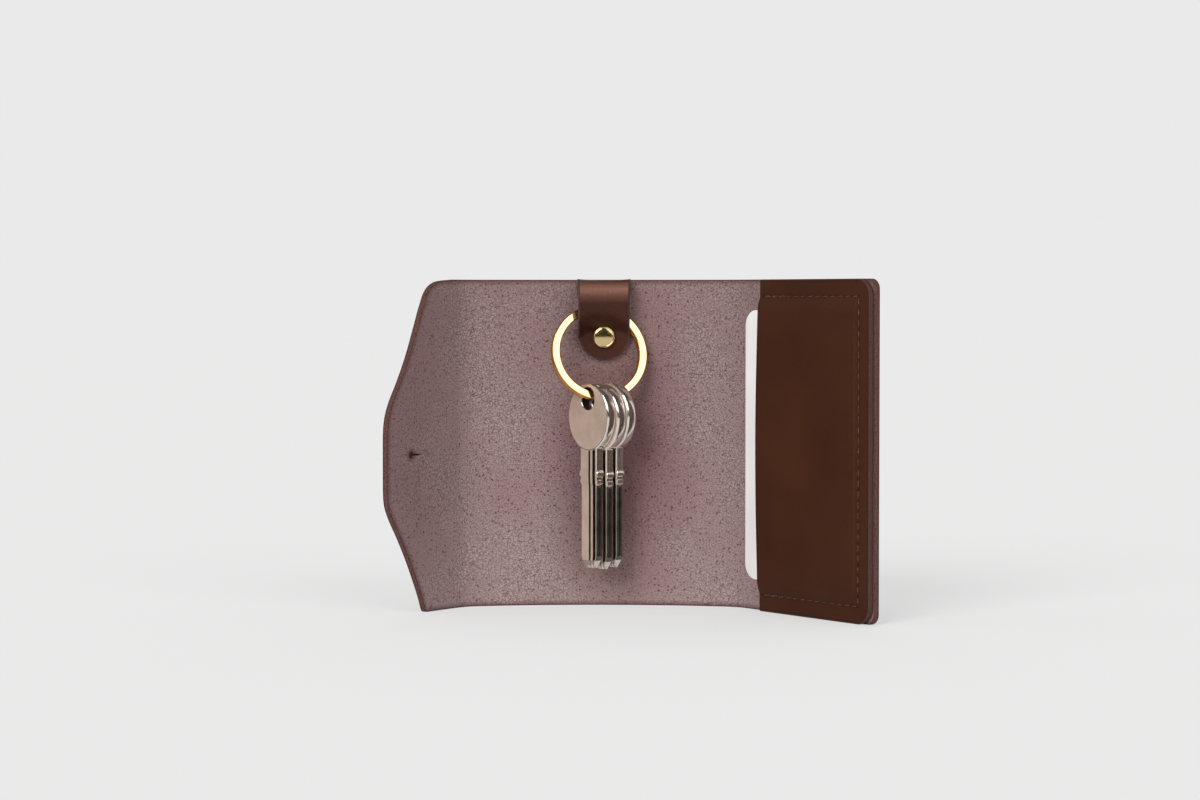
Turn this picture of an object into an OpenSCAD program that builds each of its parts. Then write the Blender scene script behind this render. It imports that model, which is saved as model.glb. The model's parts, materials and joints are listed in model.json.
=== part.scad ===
// Trifold leather key case, standing open on its bottom edge: a bent body with a tapered
// closing flap and a pocket panel, a riveted ring tab, a split ring and three keys.
// X is to the right, Y away from the open side, Z up. The leather's inner face is the
// reference of every plan length, and arc lengths run from the deepest point of the body.

/* [Leather body] */
// Height of the case
case_h = 105; // [90:1:125]
// Thickness of the body leather
leather_t = 2; // [1.5:0.1:2.4]
// Radius of the gentle bow of the middle, on its inner face
mid_r = 170; // [150:5:220]
// Radius of the two soft folds, on their inner face
fold_r = 12; // [11:0.5:13]
// Turn of the middle up to the left fold, degrees
mid_turn_l = 12.6; // [12:0.1:13.5]
// Turn of the middle up to the right fold, degrees
mid_turn_r = 14.1; // [13.5:0.1:15]
// Angle at which both panels stand open, degrees
open_turn = 53.4; // [50:0.5:56]
// Length along the middle between the two inner fold lines
middle_l = 62; // [61:0.5:64]
// Length along the middle from the left inner fold line to the deepest point
middle_left_l = 34.6; // [33:0.2:36]
// Length of the left spine, between its two fold lines
spine_l_l = 25; // [24.5:0.1:26]
// Length of the right spine, between its two fold lines
spine_r_l = 23; // [22.5:0.1:23.5]

/* [Closing flap] */
// Length of the flap from its fold line to the tip
flap_l = 20.5; // [19.5:0.2:22]
// Height of the flap at its tip
flap_tip_h = 26; // [20:1:32]
// Height of the middle of the flap's taper above the bottom edge
flap_mid_z = 50; // [47:0.5:53]
// Distance of the button hole from the tip
hole_from_tip = 11.5; // [10.9:0.2:12.1]
// Diameter of the button hole
hole_d = 2.8; // [2.7:0.1:3.4]
// Length of the slit beside the hole
slit_l = 4; // [3:0.5:5]

/* [Pocket] */
// Width of the pocket piece, from its mouth to the panel's free end
pocket_w = 52; // [46:0.5:60]
// Distance of the pocket's mouth from the panel's fold line
mouth_from_fold = 8.5; // [8.4:0.1:10]
// Thickness of the pocket leather
pocket_t = 2; // [1.5:0.1:2]
// Room for the card between the two leathers
pocket_gap = 0.9; // [0.86:0.01:1.1]
// Radius of the panel's free corners
corner_r = 4; // [2:0.5:6]
// Distance of the seam from the edges
seam_inset = 4.8; // [4.2:0.1:4.9]
// Distance between stitches
stitch_pitch = 3.2; // [2.8:0.1:4]
// Height of the panel that the card leaves free, above it and below it
card_margin = 9.7; // [8:0.1:12]
// Distance of the card's inner end from the panel's free end
card_end_room = 6.4; // [6.2:0.1:7.2]
// Thickness of the card
card_t = 0.76; // [0.5:0.02:0.8]
// Length of card that stands out of the pocket
card_out = 8.4; // [8.1:0.1:8.5]

/* [Ring tab and ring] */
// Width of the tab
tab_w = 16.5; // [15:0.5:17]
// Thickness of the tab leather
tab_t = 2; // [1.6:0.1:2.2]
// Distance of the tab's middle from the deepest point of the body
tab_x = 2.8; // [1:0.1:4]
// Depth of the tab from the top edge to its round end
tab_drop = 25; // [24:0.5:27]
// Depth of the rivet below the top edge
rivet_drop = 18.4; // [18:0.1:19]
// Diameter of the rivet cap
rivet_cap_d = 7; // [6:0.5:8]
// Diameter of the rivet post
rivet_post_d = 3; // [2.5:0.1:3.4]
// Outer diameter of the split ring
ring_d = 31.2; // [30:0.2:32]
// Width of the ring's flat wire
wire_w = 2.5; // [2.2:0.1:2.6]
// Thickness of the ring's two turns together
ring_t = 3; // [2.6:0.1:3]
// Turn of the ring about the upright, degrees
ring_yaw = 15; // [13:1:16]
// Lean of the ring, its bottom forward, degrees
ring_lean = 15; // [14:0.5:17]

/* [Keys] */
// Number of keys
key_count = 3; // [1:1:3]
// Turn of the keys' faces from the body, degrees
key_turn = 50; // [48:1:52]
// Distance between the keys' middles, square to their faces
key_pitch = 3.5; // [3.3:0.1:3.6]
// Thickness of a key's head
key_t = 3; // [2.4:0.1:3]
// Thickness of a key's blade
blade_t = 2.4; // [2:0.1:2.6]
// Height of a key's head
head_h = 21.8; // [20:0.2:22]
// Width of a key's head
head_w = 20; // [18:0.5:20]
// Length of a key from the top of its head to the tip
key_l = 59; // [50:1:60]
// Width of a key's blade
blade_w = 7.4; // [6:0.2:8]
// Diameter of the hole in a key's head
key_hole_d = 6.7; // [6.6:0.1:6.9]

/* [Stud] */
// Diameter of the stud's head
stud_head_d = 6; // [5:0.5:6]
// Diameter of the stud's neck
stud_neck_d = 2.6; // [2.4:0.1:3]
// Distance of the stud from the panel's free end
stud_from_end = 8.6; // [8.4:0.1:9.4]

/* [Hidden] */
$fn = 96;

// Fits and small gaps
fit_gap = 0.05;
overrun = 1;
plan_step = 1.6;

// Turns that each fold line still opens from rest to flat, as shares of the open turn
inner_l_share = 0.394;
inner_r_share = 0.553;
flat_inner_l = open_turn * inner_l_share;
flat_outer_l = open_turn - flat_inner_l;
flat_inner_r = open_turn * inner_r_share;
flat_outer_r = open_turn - flat_inner_r;

// The panel and the card, from the pocket that they share
panel_l = pocket_w + mouth_from_fold;
card_w = pocket_w + card_out - card_end_room;
card_h = case_h - 2 * card_margin;

// Fold lines as arc lengths from the deepest point
s_in_l = middle_left_l;
s_out_l = s_in_l + spine_l_l;
s_tip_l = s_out_l + flap_l;
s_in_r = middle_l - middle_left_l;
s_out_r = s_in_r + spine_r_l;
s_end_r = s_out_r + panel_l;

// Plan curve of the inner face: a gentle arc, a tighter arc and a straight
function turn_of(side) = side < 0 ? mid_turn_l : mid_turn_r;
function arc_len(r, a) = r * a * PI / 180;
function len_1(side) = arc_len(mid_r, turn_of(side));
function len_2(side) = arc_len(fold_r, open_turn - turn_of(side));
function heading(side, s) =
    s < len_1(side) ? s / mid_r * 180 / PI
    : min(open_turn, turn_of(side) + (s - len_1(side)) / fold_r * 180 / PI);
function run_x(side, s) =
    let (a = turn_of(side), h = heading(side, s), past = s - len_1(side) - len_2(side))
    s < len_1(side) ? mid_r * sin(h)
    : mid_r * sin(a) + fold_r * (sin(h) - sin(a)) + max(0, past) * cos(open_turn);
function run_y(side, s) =
    let (a = turn_of(side), h = heading(side, s), past = s - len_1(side) - len_2(side))
    s < len_1(side) ? -mid_r * (1 - cos(h))
    : -mid_r * (1 - cos(a)) - fold_r * (cos(a) - cos(h)) - max(0, past) * sin(open_turn);
function plan(side, s, t = 0) =
    [side * (run_x(side, s) + t * sin(heading(side, s))),
     run_y(side, s) + t * cos(heading(side, s))];
function plan_signed(s, t = 0) = plan(s < 0 ? -1 : 1, abs(s), t);
function bow_y(x) = sqrt(mid_r * mid_r - x * x) - mid_r;
function spread(a, b) = let (n = max(1, ceil(abs(b - a) / plan_step)))
    [for (i = [0:n]) a + (b - a) * i / n];

// Size of the whole plan, from which the origin is set in the middle of its box
stud_base_t = 0.5;
stud_neck_l = 2.6;
stud_head_t = 1.8;
stud_h = stud_base_t + stud_neck_l + stud_head_t;
back_cap_t = 1.2;
stud_far = plan(1, s_end_r - stud_from_end + stud_head_d / 2, leather_t + stud_h);
x_high = max(plan(1, s_end_r, leather_t)[0], stud_far[0]);
x_low = plan(-1, s_tip_l, leather_t)[0];
y_low = plan(1, s_end_r, -pocket_t)[1];
y_high = leather_t + back_cap_t + fit_gap;
centre = [(x_high + x_low) / 2, (y_high + y_low) / 2];

// Leather heights and the flap's outline, as shares of its length and half height
flap_half_h = case_h - flap_mid_z;
flap_len_shares = [1, 0.927, 0.72, 0.522, 0.317, 0.146, 0.05];
flap_rise_shares = [1, 0.876, 0.645, 0.425, 0.24, 0.105, 0.014];
flap_foot_shares = [1, 0.968, 0.768, 0.551, 0.358, 0.214, 0.119];
tip_flat_share = 0.94;
slit_w = 0.6;

// Tab loop: forward reach of its leather's middle, and the heights of its bends
tab_r = tab_w / 2;
loop_reach = 8.2;
loop_slant_share = 0.33;
loop_rise = 5;
loop_leg = 5;
pinch_h = 4.8;
pinch_dip = 4.6;
tab_rows = 14;
tab_cols = 8;

// Ring place: its middle, and its in-plane directions
ring_aside = 1.6;
ring_seat_share = 0.463;
ring_top_drop = 9.74;
wire_r = (ring_d - wire_w) / 2;
ring_side = [cos(ring_yaw), sin(ring_yaw), 0];
ring_up = [-sin(ring_yaw) * sin(ring_lean), cos(ring_yaw) * sin(ring_lean), cos(ring_lean)];
ring_mid = [tab_x - ring_aside, -loop_reach * ring_seat_share - wire_r * ring_up[1],
    case_h - ring_top_drop - wire_r * ring_up[2]];
turn_gap = 0.1;
turn_groove = 0.5;

// Keys along the ring's wire
wire_step = key_pitch / sin(key_turn + ring_yaw);
hole_top_rim = 1.7;
head_r = head_h / 2;
key_hole_r = key_hole_d / 2;
key_slot_l = 2.4;
neck_l = 11;
neck_lap = 1;
neck_w = 7.9;
collar_w = 9;
collar_l = 2.4;
tip_l = 3.8;
tip_w = 4.4;
groove_w = 0.8;
groove_d = 0.5;
groove_places = [0.4, 2.1];
edge_groove_d = 0.6;
edge_groove_w = 0.9;

// Stitches
thread_d = 0.7;
stitch_share = 0.72;
seam_end_gap = 2;
seam_step_clear = 0.5;

// Countersunk screw of the stud
screw_head_d = 5;
screw_head_t = 0.6;
screw_d = 1.6;
screw_grip = stud_base_t + stud_neck_l;

function ring_point(i) =
    let (b = i * wire_step / wire_r * 180 / PI)
    ring_mid + wire_r * (sin(b) * ring_side - cos(b) * ring_up);

// A wall that follows the plan curve, from arc length a to b, between offsets t0 and t1
module plan_wall(a, b, t0, t1, trim_a = 0, trim_b = 0) {
    inner = [for (s = spread(a, b)) plan_signed(s, t0)];
    outer = [for (s = spread(b - trim_b, a + trim_a)) plan_signed(s, t1)];
    linear_extrude(case_h) polygon(concat(inner, outer));
}

// Frame of a straight panel: x runs outwards from arc length s, y out of the case
module panel_frame(side, s) {
    if (side < 0)
        mirror([1, 0, 0]) straight_run(side, s) children();
    else
        straight_run(side, s) children();
}

module straight_run(side, s) {
    translate([run_x(side, s), run_y(side, s), 0]) rotate(-open_turn) children();
}

// Turns a sheet outline drawn as length and height into a plate from offset t0 to t1
module plate(t0, t1) {
    translate([0, t1, 0]) rotate([90, 0, 0]) linear_extrude(t1 - t0) children();
}

// A pin along the panel frame's y
module cross_pin(x, z, r, t0, t1) {
    translate([x, t1, z]) rotate([90, 0, 0]) cylinder(r = r, h = t1 - t0);
}

// Leather body
module body_middle() {
    color([0.33, 0.2, 0.17])
    difference() {
        plan_wall(-s_in_l, s_in_r, 0, leather_t,
            leather_t * tan(flat_inner_l / 2), leather_t * tan(flat_inner_r / 2));
        translate([tab_x - tab_r - fit_gap, -overrun, case_h - loop_rise])
            cube([tab_w + 2 * fit_gap, leather_t + 2 * overrun, loop_rise + overrun]);
        translate([tab_x, leather_t + overrun, case_h - rivet_drop]) rotate([90, 0, 0])
            cylinder(d = rivet_post_d + 2 * fit_gap, h = leather_t + 2 * overrun);
    }
}

module left_spine() {
    color([0.35, 0.21, 0.18])
    plan_wall(-s_out_l, -s_in_l, 0, leather_t,
        leather_t * tan(flat_outer_l / 2), leather_t * tan(flat_inner_l / 2));
}

module right_spine() {
    color([0.35, 0.21, 0.18])
    plan_wall(s_in_r, s_out_r, 0, leather_t,
        leather_t * tan(flat_inner_r / 2), leather_t * tan(flat_outer_r / 2));
}

module flap_outline() {
    tip_half = flap_tip_h / 2;
    n = len(flap_len_shares) - 1;
    top = [for (i = [0:n])
        [flap_l * (1 - flap_len_shares[i]),
         flap_mid_z + tip_half + (flap_half_h - tip_half) * flap_rise_shares[i]]];
    foot = [for (i = [n:-1:0])
        [flap_l * (1 - flap_len_shares[i]),
         flap_mid_z - tip_half - (flap_mid_z - tip_half) * flap_foot_shares[i]]];
    polygon(concat(top, [[flap_l, flap_mid_z + tip_half * tip_flat_share],
        [flap_l, flap_mid_z - tip_half * tip_flat_share]], foot));
}
module left_flap() {
    hole_x = flap_l - hole_from_tip;
    color([0.36, 0.22, 0.19])
    panel_frame(-1, s_out_l)
    difference() {
        plate(0, leather_t) flap_outline();
        rotate(-flat_outer_l / 2) translate([-2 * leather_t, 0, -overrun])
            cube([2 * leather_t, 2 * leather_t, case_h + 2 * overrun]);
        cross_pin(hole_x, flap_mid_z, hole_d / 2, -overrun, leather_t + overrun);
        translate([hole_x - slit_l - hole_d / 2, -overrun, flap_mid_z - slit_w / 2])
            cube([slit_l + hole_d / 2, leather_t + 2 * overrun, slit_w]);
    }
}

module panel_outline(from, to) {
    translate([from, 0]) square([to - corner_r - from, case_h]);
    translate([to - corner_r, corner_r]) square([corner_r, case_h - 2 * corner_r]);
    for (z = [corner_r, case_h - corner_r])
        translate([to - corner_r, z]) circle(corner_r);
}

module right_panel() {
    stud_x = panel_l - stud_from_end;
    color([0.36, 0.22, 0.19])
    panel_frame(1, s_out_r)
    difference() {
        plate(0, leather_t) panel_outline(0, panel_l);
        rotate(-flat_outer_r / 2) translate([-2 * leather_t, 0, -overrun])
            cube([2 * leather_t, 2 * leather_t, case_h + 2 * overrun]);
        cross_pin(stud_x, flap_mid_z, screw_d / 2 + fit_gap, -overrun, leather_t + overrun);
        cross_pin(stud_x, flap_mid_z, screw_head_d / 2 + fit_gap, -overrun,
            screw_head_t + fit_gap);
    }
}

// Pocket: a flat seam margin on three sides and a raised field over the card
pocket_from = panel_l - pocket_w;
room_inset = seam_inset + thread_d + seam_step_clear;
module card_pocket() {
    field_inset = seam_inset + thread_d;
    color([0.3, 0.16, 0.12])
    panel_frame(1, s_out_r)
    difference() {
        union() {
            plate(-pocket_t, 0) panel_outline(pocket_from, panel_l);
            plate(-pocket_t - pocket_gap, -pocket_t) translate([pocket_from, field_inset])
                square([pocket_w - field_inset, case_h - 2 * field_inset]);
        }
        translate([pocket_from - overrun, -pocket_gap, room_inset])
            cube([pocket_w - room_inset + overrun, pocket_gap + overrun,
                case_h - 2 * room_inset]);
    }
}

// The seam: two rows to the pocket's mouth and one along the free end
seam_run = pocket_w - seam_inset - seam_end_gap;
seam_rise = case_h - 2 * seam_inset;
module seam(t) {
    across = floor(seam_run / stitch_pitch);
    up = floor(seam_rise / stitch_pitch);
    for (i = [0:across - 1], z = [seam_inset, case_h - seam_inset])
        translate([pocket_from + seam_end_gap + (i + 0.5) * seam_run / across, t, z])
            rotate([0, 90, 0]) stitch(seam_run / across);
    for (i = [0:up - 1])
        translate([panel_l - seam_inset, t, seam_inset + (i + 0.5) * seam_rise / up])
            stitch(seam_rise / up);
}

// One stitch: a short thread with round ends, lying half in the leather's face
module stitch(pitch) {
    bar = pitch * stitch_share - thread_d;
    translate([0, 0, -bar / 2]) cylinder(d = thread_d, h = bar, $fn = 14);
}

module pocket_thread_front() {
    color([0.42, 0.27, 0.24])
    panel_frame(1, s_out_r) seam(-pocket_t - thread_d / 2);
}

module pocket_thread_back() {
    color([0.42, 0.27, 0.24])
    panel_frame(1, s_out_r) seam(leather_t + thread_d / 2);
}

module card_outline() {
    card_r = 5;
    offset_x = [card_r, card_w - card_r];
    translate([card_r, 0]) square([card_w - 2 * card_r, card_h]);
    translate([0, card_r]) square([card_w, card_h - 2 * card_r]);
    for (x = offset_x, z = [card_r, card_h - card_r]) translate([x, z]) circle(card_r);
}

module blank_card() {
    lift = (pocket_gap - card_t) / 2;
    color([0.96, 0.96, 0.95])
    panel_frame(1, s_out_r)
    translate([pocket_from - card_out, 0, card_margin])
        plate(-lift - card_t, -lift) card_outline();
}

// Ring tab: a strip that rises from the notch, folds forward over the ring, dips round the
// rivet and ends in a half circle. It follows the bow of the body, and its loop reaches
// further forward on the left.
tab_foot_z = case_h - loop_rise;
tab_end_z = case_h - tab_drop;
leg_z = tab_foot_z - loop_leg;
function ease(x) = let (c = min(1, max(0, x))) c * c * (3 - 2 * c);
function pinch(z, v) = ease((z - leg_z + pinch_h + pinch_dip * v * v) / pinch_h);
function leg_y(z, v) = -tab_t / 2 - fit_gap
    - (loop_reach - tab_t / 2) * pinch(z, v) * (1 - loop_slant_share * v);
function over_y(a, v) =
    let (full = -leg_y(tab_foot_z, v) + leather_t / 2, share = (1 - cos(a)) / 2)
    leather_t / 2 - full * share;
function over_z(a) = tab_foot_z + (loop_rise - tab_t / 2) * sin(a);
function half_w(z) =
    z > tab_end_z + tab_r ? tab_r
    : max(tab_t / 8, sqrt(max(0, tab_r * tab_r - pow(tab_end_z + tab_r - z, 2))));
function tab_mid(i, v) =
    i <= tab_rows ? let (a = 180 * i / tab_rows) [over_y(a, v), over_z(a)]
    : let (q = (i - tab_rows) / (2 * tab_rows),
           z = tab_foot_z - (tab_foot_z - tab_end_z) * sin(90 * q))
      [leg_y(z, v), z];
function tab_normal(i, v) =
    let (last = 3 * tab_rows,
         d = i == 0 ? [0, tab_t] : tab_mid(min(i + 1, last), v) - tab_mid(i - 1, v))
    [-d[1], d[0]] / norm(d);
function tab_point(i, j, t) =
    let (v = 2 * j / tab_cols - 1, m = tab_mid(i, v), n = tab_normal(i, v),
         x = tab_x + v * half_w(m[1]))
    [x, m[0] + t * n[0] + bow_y(x), m[1] + t * n[1]];

module tab_sheet() {
    rows = 3 * tab_rows;
    cols = tab_cols + 1;
    per_face = (rows + 1) * cols;
    points = concat(
        [for (i = [0:rows], j = [0:tab_cols]) tab_point(i, j, tab_t / 2)],
        [for (i = [0:rows], j = [0:tab_cols]) tab_point(i, j, -tab_t / 2)]);
    function at(i, j, f) = f * per_face + i * cols + j;
    one = [for (i = [0:rows - 1], j = [0:tab_cols - 1])
        [at(i, j, 0), at(i + 1, j, 0), at(i + 1, j + 1, 0), at(i, j + 1, 0)]];
    two = [for (i = [0:rows - 1], j = [0:tab_cols - 1])
        [at(i, j, 1), at(i, j + 1, 1), at(i + 1, j + 1, 1), at(i + 1, j, 1)]];
    left = [for (i = [0:rows - 1])
        [at(i, 0, 0), at(i, 0, 1), at(i + 1, 0, 1), at(i + 1, 0, 0)]];
    right = [for (i = [0:rows - 1])
        [at(i, tab_cols, 0), at(i + 1, tab_cols, 0), at(i + 1, tab_cols, 1),
         at(i, tab_cols, 1)]];
    foot = [for (j = [0:tab_cols - 1]) [at(0, j, 0), at(0, j + 1, 0), at(0, j + 1, 1),
        at(0, j, 1)]];
    end = [for (j = [0:tab_cols - 1]) [at(rows, j, 0), at(rows, j, 1), at(rows, j + 1, 1),
        at(rows, j + 1, 0)]];
    quads = concat(one, two, left, right, foot, end);
    triangles = [for (q = quads) for (t = [[q[0], q[1], q[2]], [q[0], q[2], q[3]]]) t];
    polyhedron(points, triangles, convexity = 6);
}

module ring_tab() {
    color([0.3, 0.17, 0.13])
    difference() {
        tab_sheet();
        translate([tab_x, 0, case_h - rivet_drop]) rotate([90, 0, 0])
            cylinder(d = rivet_post_d + 2 * fit_gap, h = loop_reach);
    }
}

// Rivet: a domed cap on the tab, and a post with a thin cap behind the body
cap_h = 1.6;
cap_rim = 0.5;
tab_face_y = bow_y(tab_x + rivet_cap_d / 2) - tab_t - 3 * fit_gap;
module rivet_cap() {
    dome_r = (pow(rivet_cap_d / 2, 2) + pow(cap_h - cap_rim, 2)) / (2 * (cap_h - cap_rim));
    color([0.8, 0.66, 0.38])
    translate([tab_x, tab_face_y, case_h - rivet_drop]) rotate([90, 0, 0])
    intersection() {
        cylinder(d = rivet_cap_d, h = cap_h);
        translate([0, 0, cap_h - dome_r]) sphere(dome_r);
    }
}

module rivet_post() {
    color([0.78, 0.64, 0.36])
    translate([tab_x, leather_t + fit_gap, case_h - rivet_drop]) {
        rotate([90, 0, 0])
            cylinder(d = rivet_post_d, h = leather_t + fit_gap - tab_face_y);
        rotate([-90, 0, 0]) cylinder(d = rivet_cap_d, h = back_cap_t);
    }
}

// Split ring: two turns of flat wire with a fine groove between them
module split_ring() {
    r_in = ring_d / 2 - wire_w;
    half_gap = turn_gap / 2;
    color([0.95, 0.78, 0.4])
    translate(ring_mid) rotate(ring_yaw) rotate([-ring_lean, 0, 0]) rotate([90, 0, 0])
    rotate_extrude() polygon([
        [r_in, -ring_t / 2], [ring_d / 2, -ring_t / 2], [ring_d / 2, -half_gap],
        [ring_d / 2 - turn_groove, 0], [ring_d / 2, half_gap], [ring_d / 2, ring_t / 2],
        [r_in, ring_t / 2], [r_in, half_gap], [r_in + turn_groove, 0], [r_in, -half_gap]]);
}

// Key, drawn hanging: x along its face, z up, y through it, with the wire at the origin
head_top = key_hole_r + hole_top_rim;
neck_z = head_top - head_h + neck_lap;
collar_z = neck_z - neck_l;
tip_z = head_top - key_l;
module key_outline() {
    intersection() {
        translate([0, head_top - head_r]) circle(head_r);
        translate([-head_w / 2, head_top - head_h]) square([head_w, head_h]);
    }
    translate([-neck_w / 2, collar_z]) square([neck_w, neck_l]);
    polygon([[-neck_w / 2, collar_z + 2 * collar_l], [-collar_w / 2, collar_z + collar_l],
        [-collar_w / 2, collar_z + collar_l / 2], [-blade_w / 2, collar_z],
        [blade_w / 2, collar_z], [collar_w / 2, collar_z + collar_l / 2],
        [collar_w / 2, collar_z + collar_l], [neck_w / 2, collar_z + 2 * collar_l]]);
}

module blade_outline() {
    polygon([[-blade_w / 2, collar_z + overrun], [-blade_w / 2, tip_z + tip_l],
        [-tip_w / 2, tip_z], [tip_w / 2, tip_z], [blade_w / 2, tip_z + tip_l],
        [blade_w / 2, collar_z + overrun]]);
}

module key_hole() {
    for (z = [0, -key_slot_l]) cross_pin(0, z, key_hole_r, -key_t, key_t);
    translate([-key_hole_r, -key_t, -key_slot_l]) cube([2 * key_hole_r, 2 * key_t, key_slot_l]);
}

module one_key() {
    groove_top = neck_z - 2 * collar_l;
    groove_l = groove_top - tip_z + overrun;
    difference() {
        union() {
            plate(-key_t / 2, key_t / 2) key_outline();
            plate(-blade_t / 2, blade_t / 2) blade_outline();
        }
        key_hole();
        for (x = groove_places) translate([x, -key_t, groove_top - groove_l])
            cube([groove_w, key_t - blade_t / 2 + groove_d, groove_l]);
        for (x = groove_places) translate([-x - groove_w, blade_t / 2 - groove_d,
            groove_top - groove_l]) cube([groove_w, key_t, groove_l]);
        translate([blade_w / 2 - edge_groove_d, -edge_groove_w / 2, tip_z + tip_l])
            cube([edge_groove_d + overrun, edge_groove_w, collar_z - tip_z - tip_l]);
    }
}

module placed_key(i) {
    color([0.72, 0.68, 0.62])
    if (i <= key_count)
        translate(ring_point(i - 2)) rotate(-key_turn) one_key();
}

// Button stud on the panel's outer face, held by a countersunk screw from the pocket
module stud_head() {
    stud_x = panel_l - stud_from_end;
    face = leather_t + fit_gap;
    color([0.8, 0.66, 0.38])
    panel_frame(1, s_out_r)
    difference() {
        union() {
            cross_pin(stud_x, flap_mid_z, stud_head_d / 2, face, face + stud_base_t);
            cross_pin(stud_x, flap_mid_z, stud_neck_d / 2, face,
                leather_t + stud_h - stud_head_t / 2);
            cross_pin(stud_x, flap_mid_z, stud_head_d / 2,
                leather_t + stud_base_t + stud_neck_l, leather_t + stud_h);
        }
        cross_pin(stud_x, flap_mid_z, screw_d / 2, 0, leather_t + screw_grip);
    }
}

module stud_screw() {
    stud_x = panel_l - stud_from_end;
    color([0.76, 0.62, 0.36])
    panel_frame(1, s_out_r) {
        cross_pin(stud_x, flap_mid_z, screw_head_d / 2, 0, screw_head_t);
        cross_pin(stud_x, flap_mid_z, screw_d / 2, screw_head_t, leather_t + screw_grip);
    }
}

// Origin: under the middle of the case's own box
module in_place() {
    translate([-centre[0], -centre[1], 0]) children();
}

in_place() body_middle();
in_place() left_spine();
in_place() left_flap();
in_place() right_spine();
in_place() right_panel();
in_place() card_pocket();
in_place() pocket_thread_front();
in_place() pocket_thread_back();
in_place() blank_card();
in_place() ring_tab();
in_place() rivet_cap();
in_place() rivet_post();
in_place() split_ring();
in_place() placed_key(1);  // key_1
in_place() placed_key(2);  // key_2
in_place() placed_key(3);  // key_3
in_place() stud_head();
in_place() stud_screw();
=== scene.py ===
import json
import math

import bpy
import numpy as np
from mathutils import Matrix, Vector


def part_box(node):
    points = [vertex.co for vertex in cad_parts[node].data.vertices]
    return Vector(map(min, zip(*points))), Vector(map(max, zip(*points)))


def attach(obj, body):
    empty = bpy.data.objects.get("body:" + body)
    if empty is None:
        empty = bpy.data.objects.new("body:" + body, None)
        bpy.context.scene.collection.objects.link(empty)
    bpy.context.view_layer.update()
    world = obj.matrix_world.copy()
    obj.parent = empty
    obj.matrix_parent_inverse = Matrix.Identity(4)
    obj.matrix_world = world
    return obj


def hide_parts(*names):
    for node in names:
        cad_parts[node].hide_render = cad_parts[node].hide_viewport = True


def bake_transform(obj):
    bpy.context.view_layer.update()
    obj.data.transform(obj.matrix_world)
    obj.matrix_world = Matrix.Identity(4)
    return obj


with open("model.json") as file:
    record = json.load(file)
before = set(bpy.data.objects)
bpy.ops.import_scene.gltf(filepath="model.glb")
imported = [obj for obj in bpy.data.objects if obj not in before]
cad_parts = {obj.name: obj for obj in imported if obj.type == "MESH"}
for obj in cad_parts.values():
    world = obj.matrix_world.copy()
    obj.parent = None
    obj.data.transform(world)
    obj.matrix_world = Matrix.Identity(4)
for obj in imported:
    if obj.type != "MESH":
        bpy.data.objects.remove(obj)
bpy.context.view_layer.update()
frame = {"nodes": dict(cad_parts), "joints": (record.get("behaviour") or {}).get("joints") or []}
joints = {joint["name"]: joint for joint in frame["joints"]}


# Leather body: one cut of vegetable-tanned hide, 2 mm thick, standing on its lower edge. The flesh
# side is inside, rough and waxed to a mottled mauve; the grain side is outside, smooth and dark
# brown. It bends at two fold lines a side, so four lengths of it are laid end to end here.
MM = 0.001
CASE_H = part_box("body_middle")[1].z / MM
LEATHER_T = 2.0
BOW_R = 170.0
FOLD_R = 12.0
LEFT_BOW_TURN = math.radians(12.6)
RIGHT_BOW_TURN = math.radians(14.1)
OPEN_TURN = math.radians(53.4)
LEFT_INNER_FOLD = -34.6
LEFT_OUTER_FOLD = -59.6
FLAP_TIP = -80.1
PANEL_END = 111.1
LEFT_SPLICE = -47.1
RIGHT_SPLICE = 38.9
EDGE_BEVEL = 0.35


def plan_xy(s, t):
    """Plan of the body. From the deepest point the inner face bows gently at BOW_R up to the
    turn where the soft fold begins, then turns at FOLD_R up to OPEN_TURN, and runs straight on.
    s is the length along that face, negative to the left, and t the depth outwards from it."""
    side = np.where(s < 0, -1.0, 1.0)
    run = np.abs(s)
    bow_turn = np.where(s < 0, LEFT_BOW_TURN, RIGHT_BOW_TURN)
    bow_end = BOW_R * bow_turn
    fold_end = bow_end + FOLD_R * (OPEN_TURN - bow_turn)
    turn = np.where(run < bow_end, run / BOW_R,
                    np.minimum(OPEN_TURN, bow_turn + (run - bow_end) / FOLD_R))
    bow = np.minimum(turn, bow_turn)
    past = np.maximum(0.0, run - fold_end)
    x = BOW_R * np.sin(bow) + FOLD_R * (np.sin(turn) - np.sin(bow)) + past * math.cos(OPEN_TURN)
    y = (-BOW_R * (1 - np.cos(bow)) - FOLD_R * (np.cos(bow) - np.cos(turn))
         - past * math.sin(OPEN_TURN))
    return side * (x + t * np.sin(turn)), y + t * np.cos(turn)


fold_at = joints["left_fold"]["pos_m"]
fold_x, fold_y = plan_xy(np.array(LEFT_INNER_FOLD), 0.0)
DEEPEST = np.array([fold_at[0] / MM - fold_x, fold_at[1] / MM - fold_y, 0.0])


def on_body(s, z, t):
    """Points of the standing case from lengths s along the body, heights z and depths t."""
    x, y = plan_xy(s, t)
    return np.stack([x, y, z + 0 * x], axis=-1) + DEEPEST


def steps(start, end, pitch):
    """Even values from start to end, about pitch apart."""
    return np.linspace(start, end, max(2, int(round(abs(end - start) / pitch)) + 1))


def unit_rows(vectors):
    """Each row of vectors at length 1, with rows of no length left at 0."""
    length = np.linalg.norm(vectors, axis=1, keepdims=True)
    return np.where(length > 1e-9, vectors / np.maximum(length, 1e-9), 0.0)


def colour(hex_value):
    """An sRGB hex value as linear red, green, blue and alpha."""
    parts = np.array([int(hex_value[i:i + 2], 16) for i in (1, 3, 5)]) / 255
    linear = np.where(parts <= 0.04045, parts / 12.92, ((parts + 0.055) / 1.055) ** 2.4)
    return (*linear.tolist(), 1.0)


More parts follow.
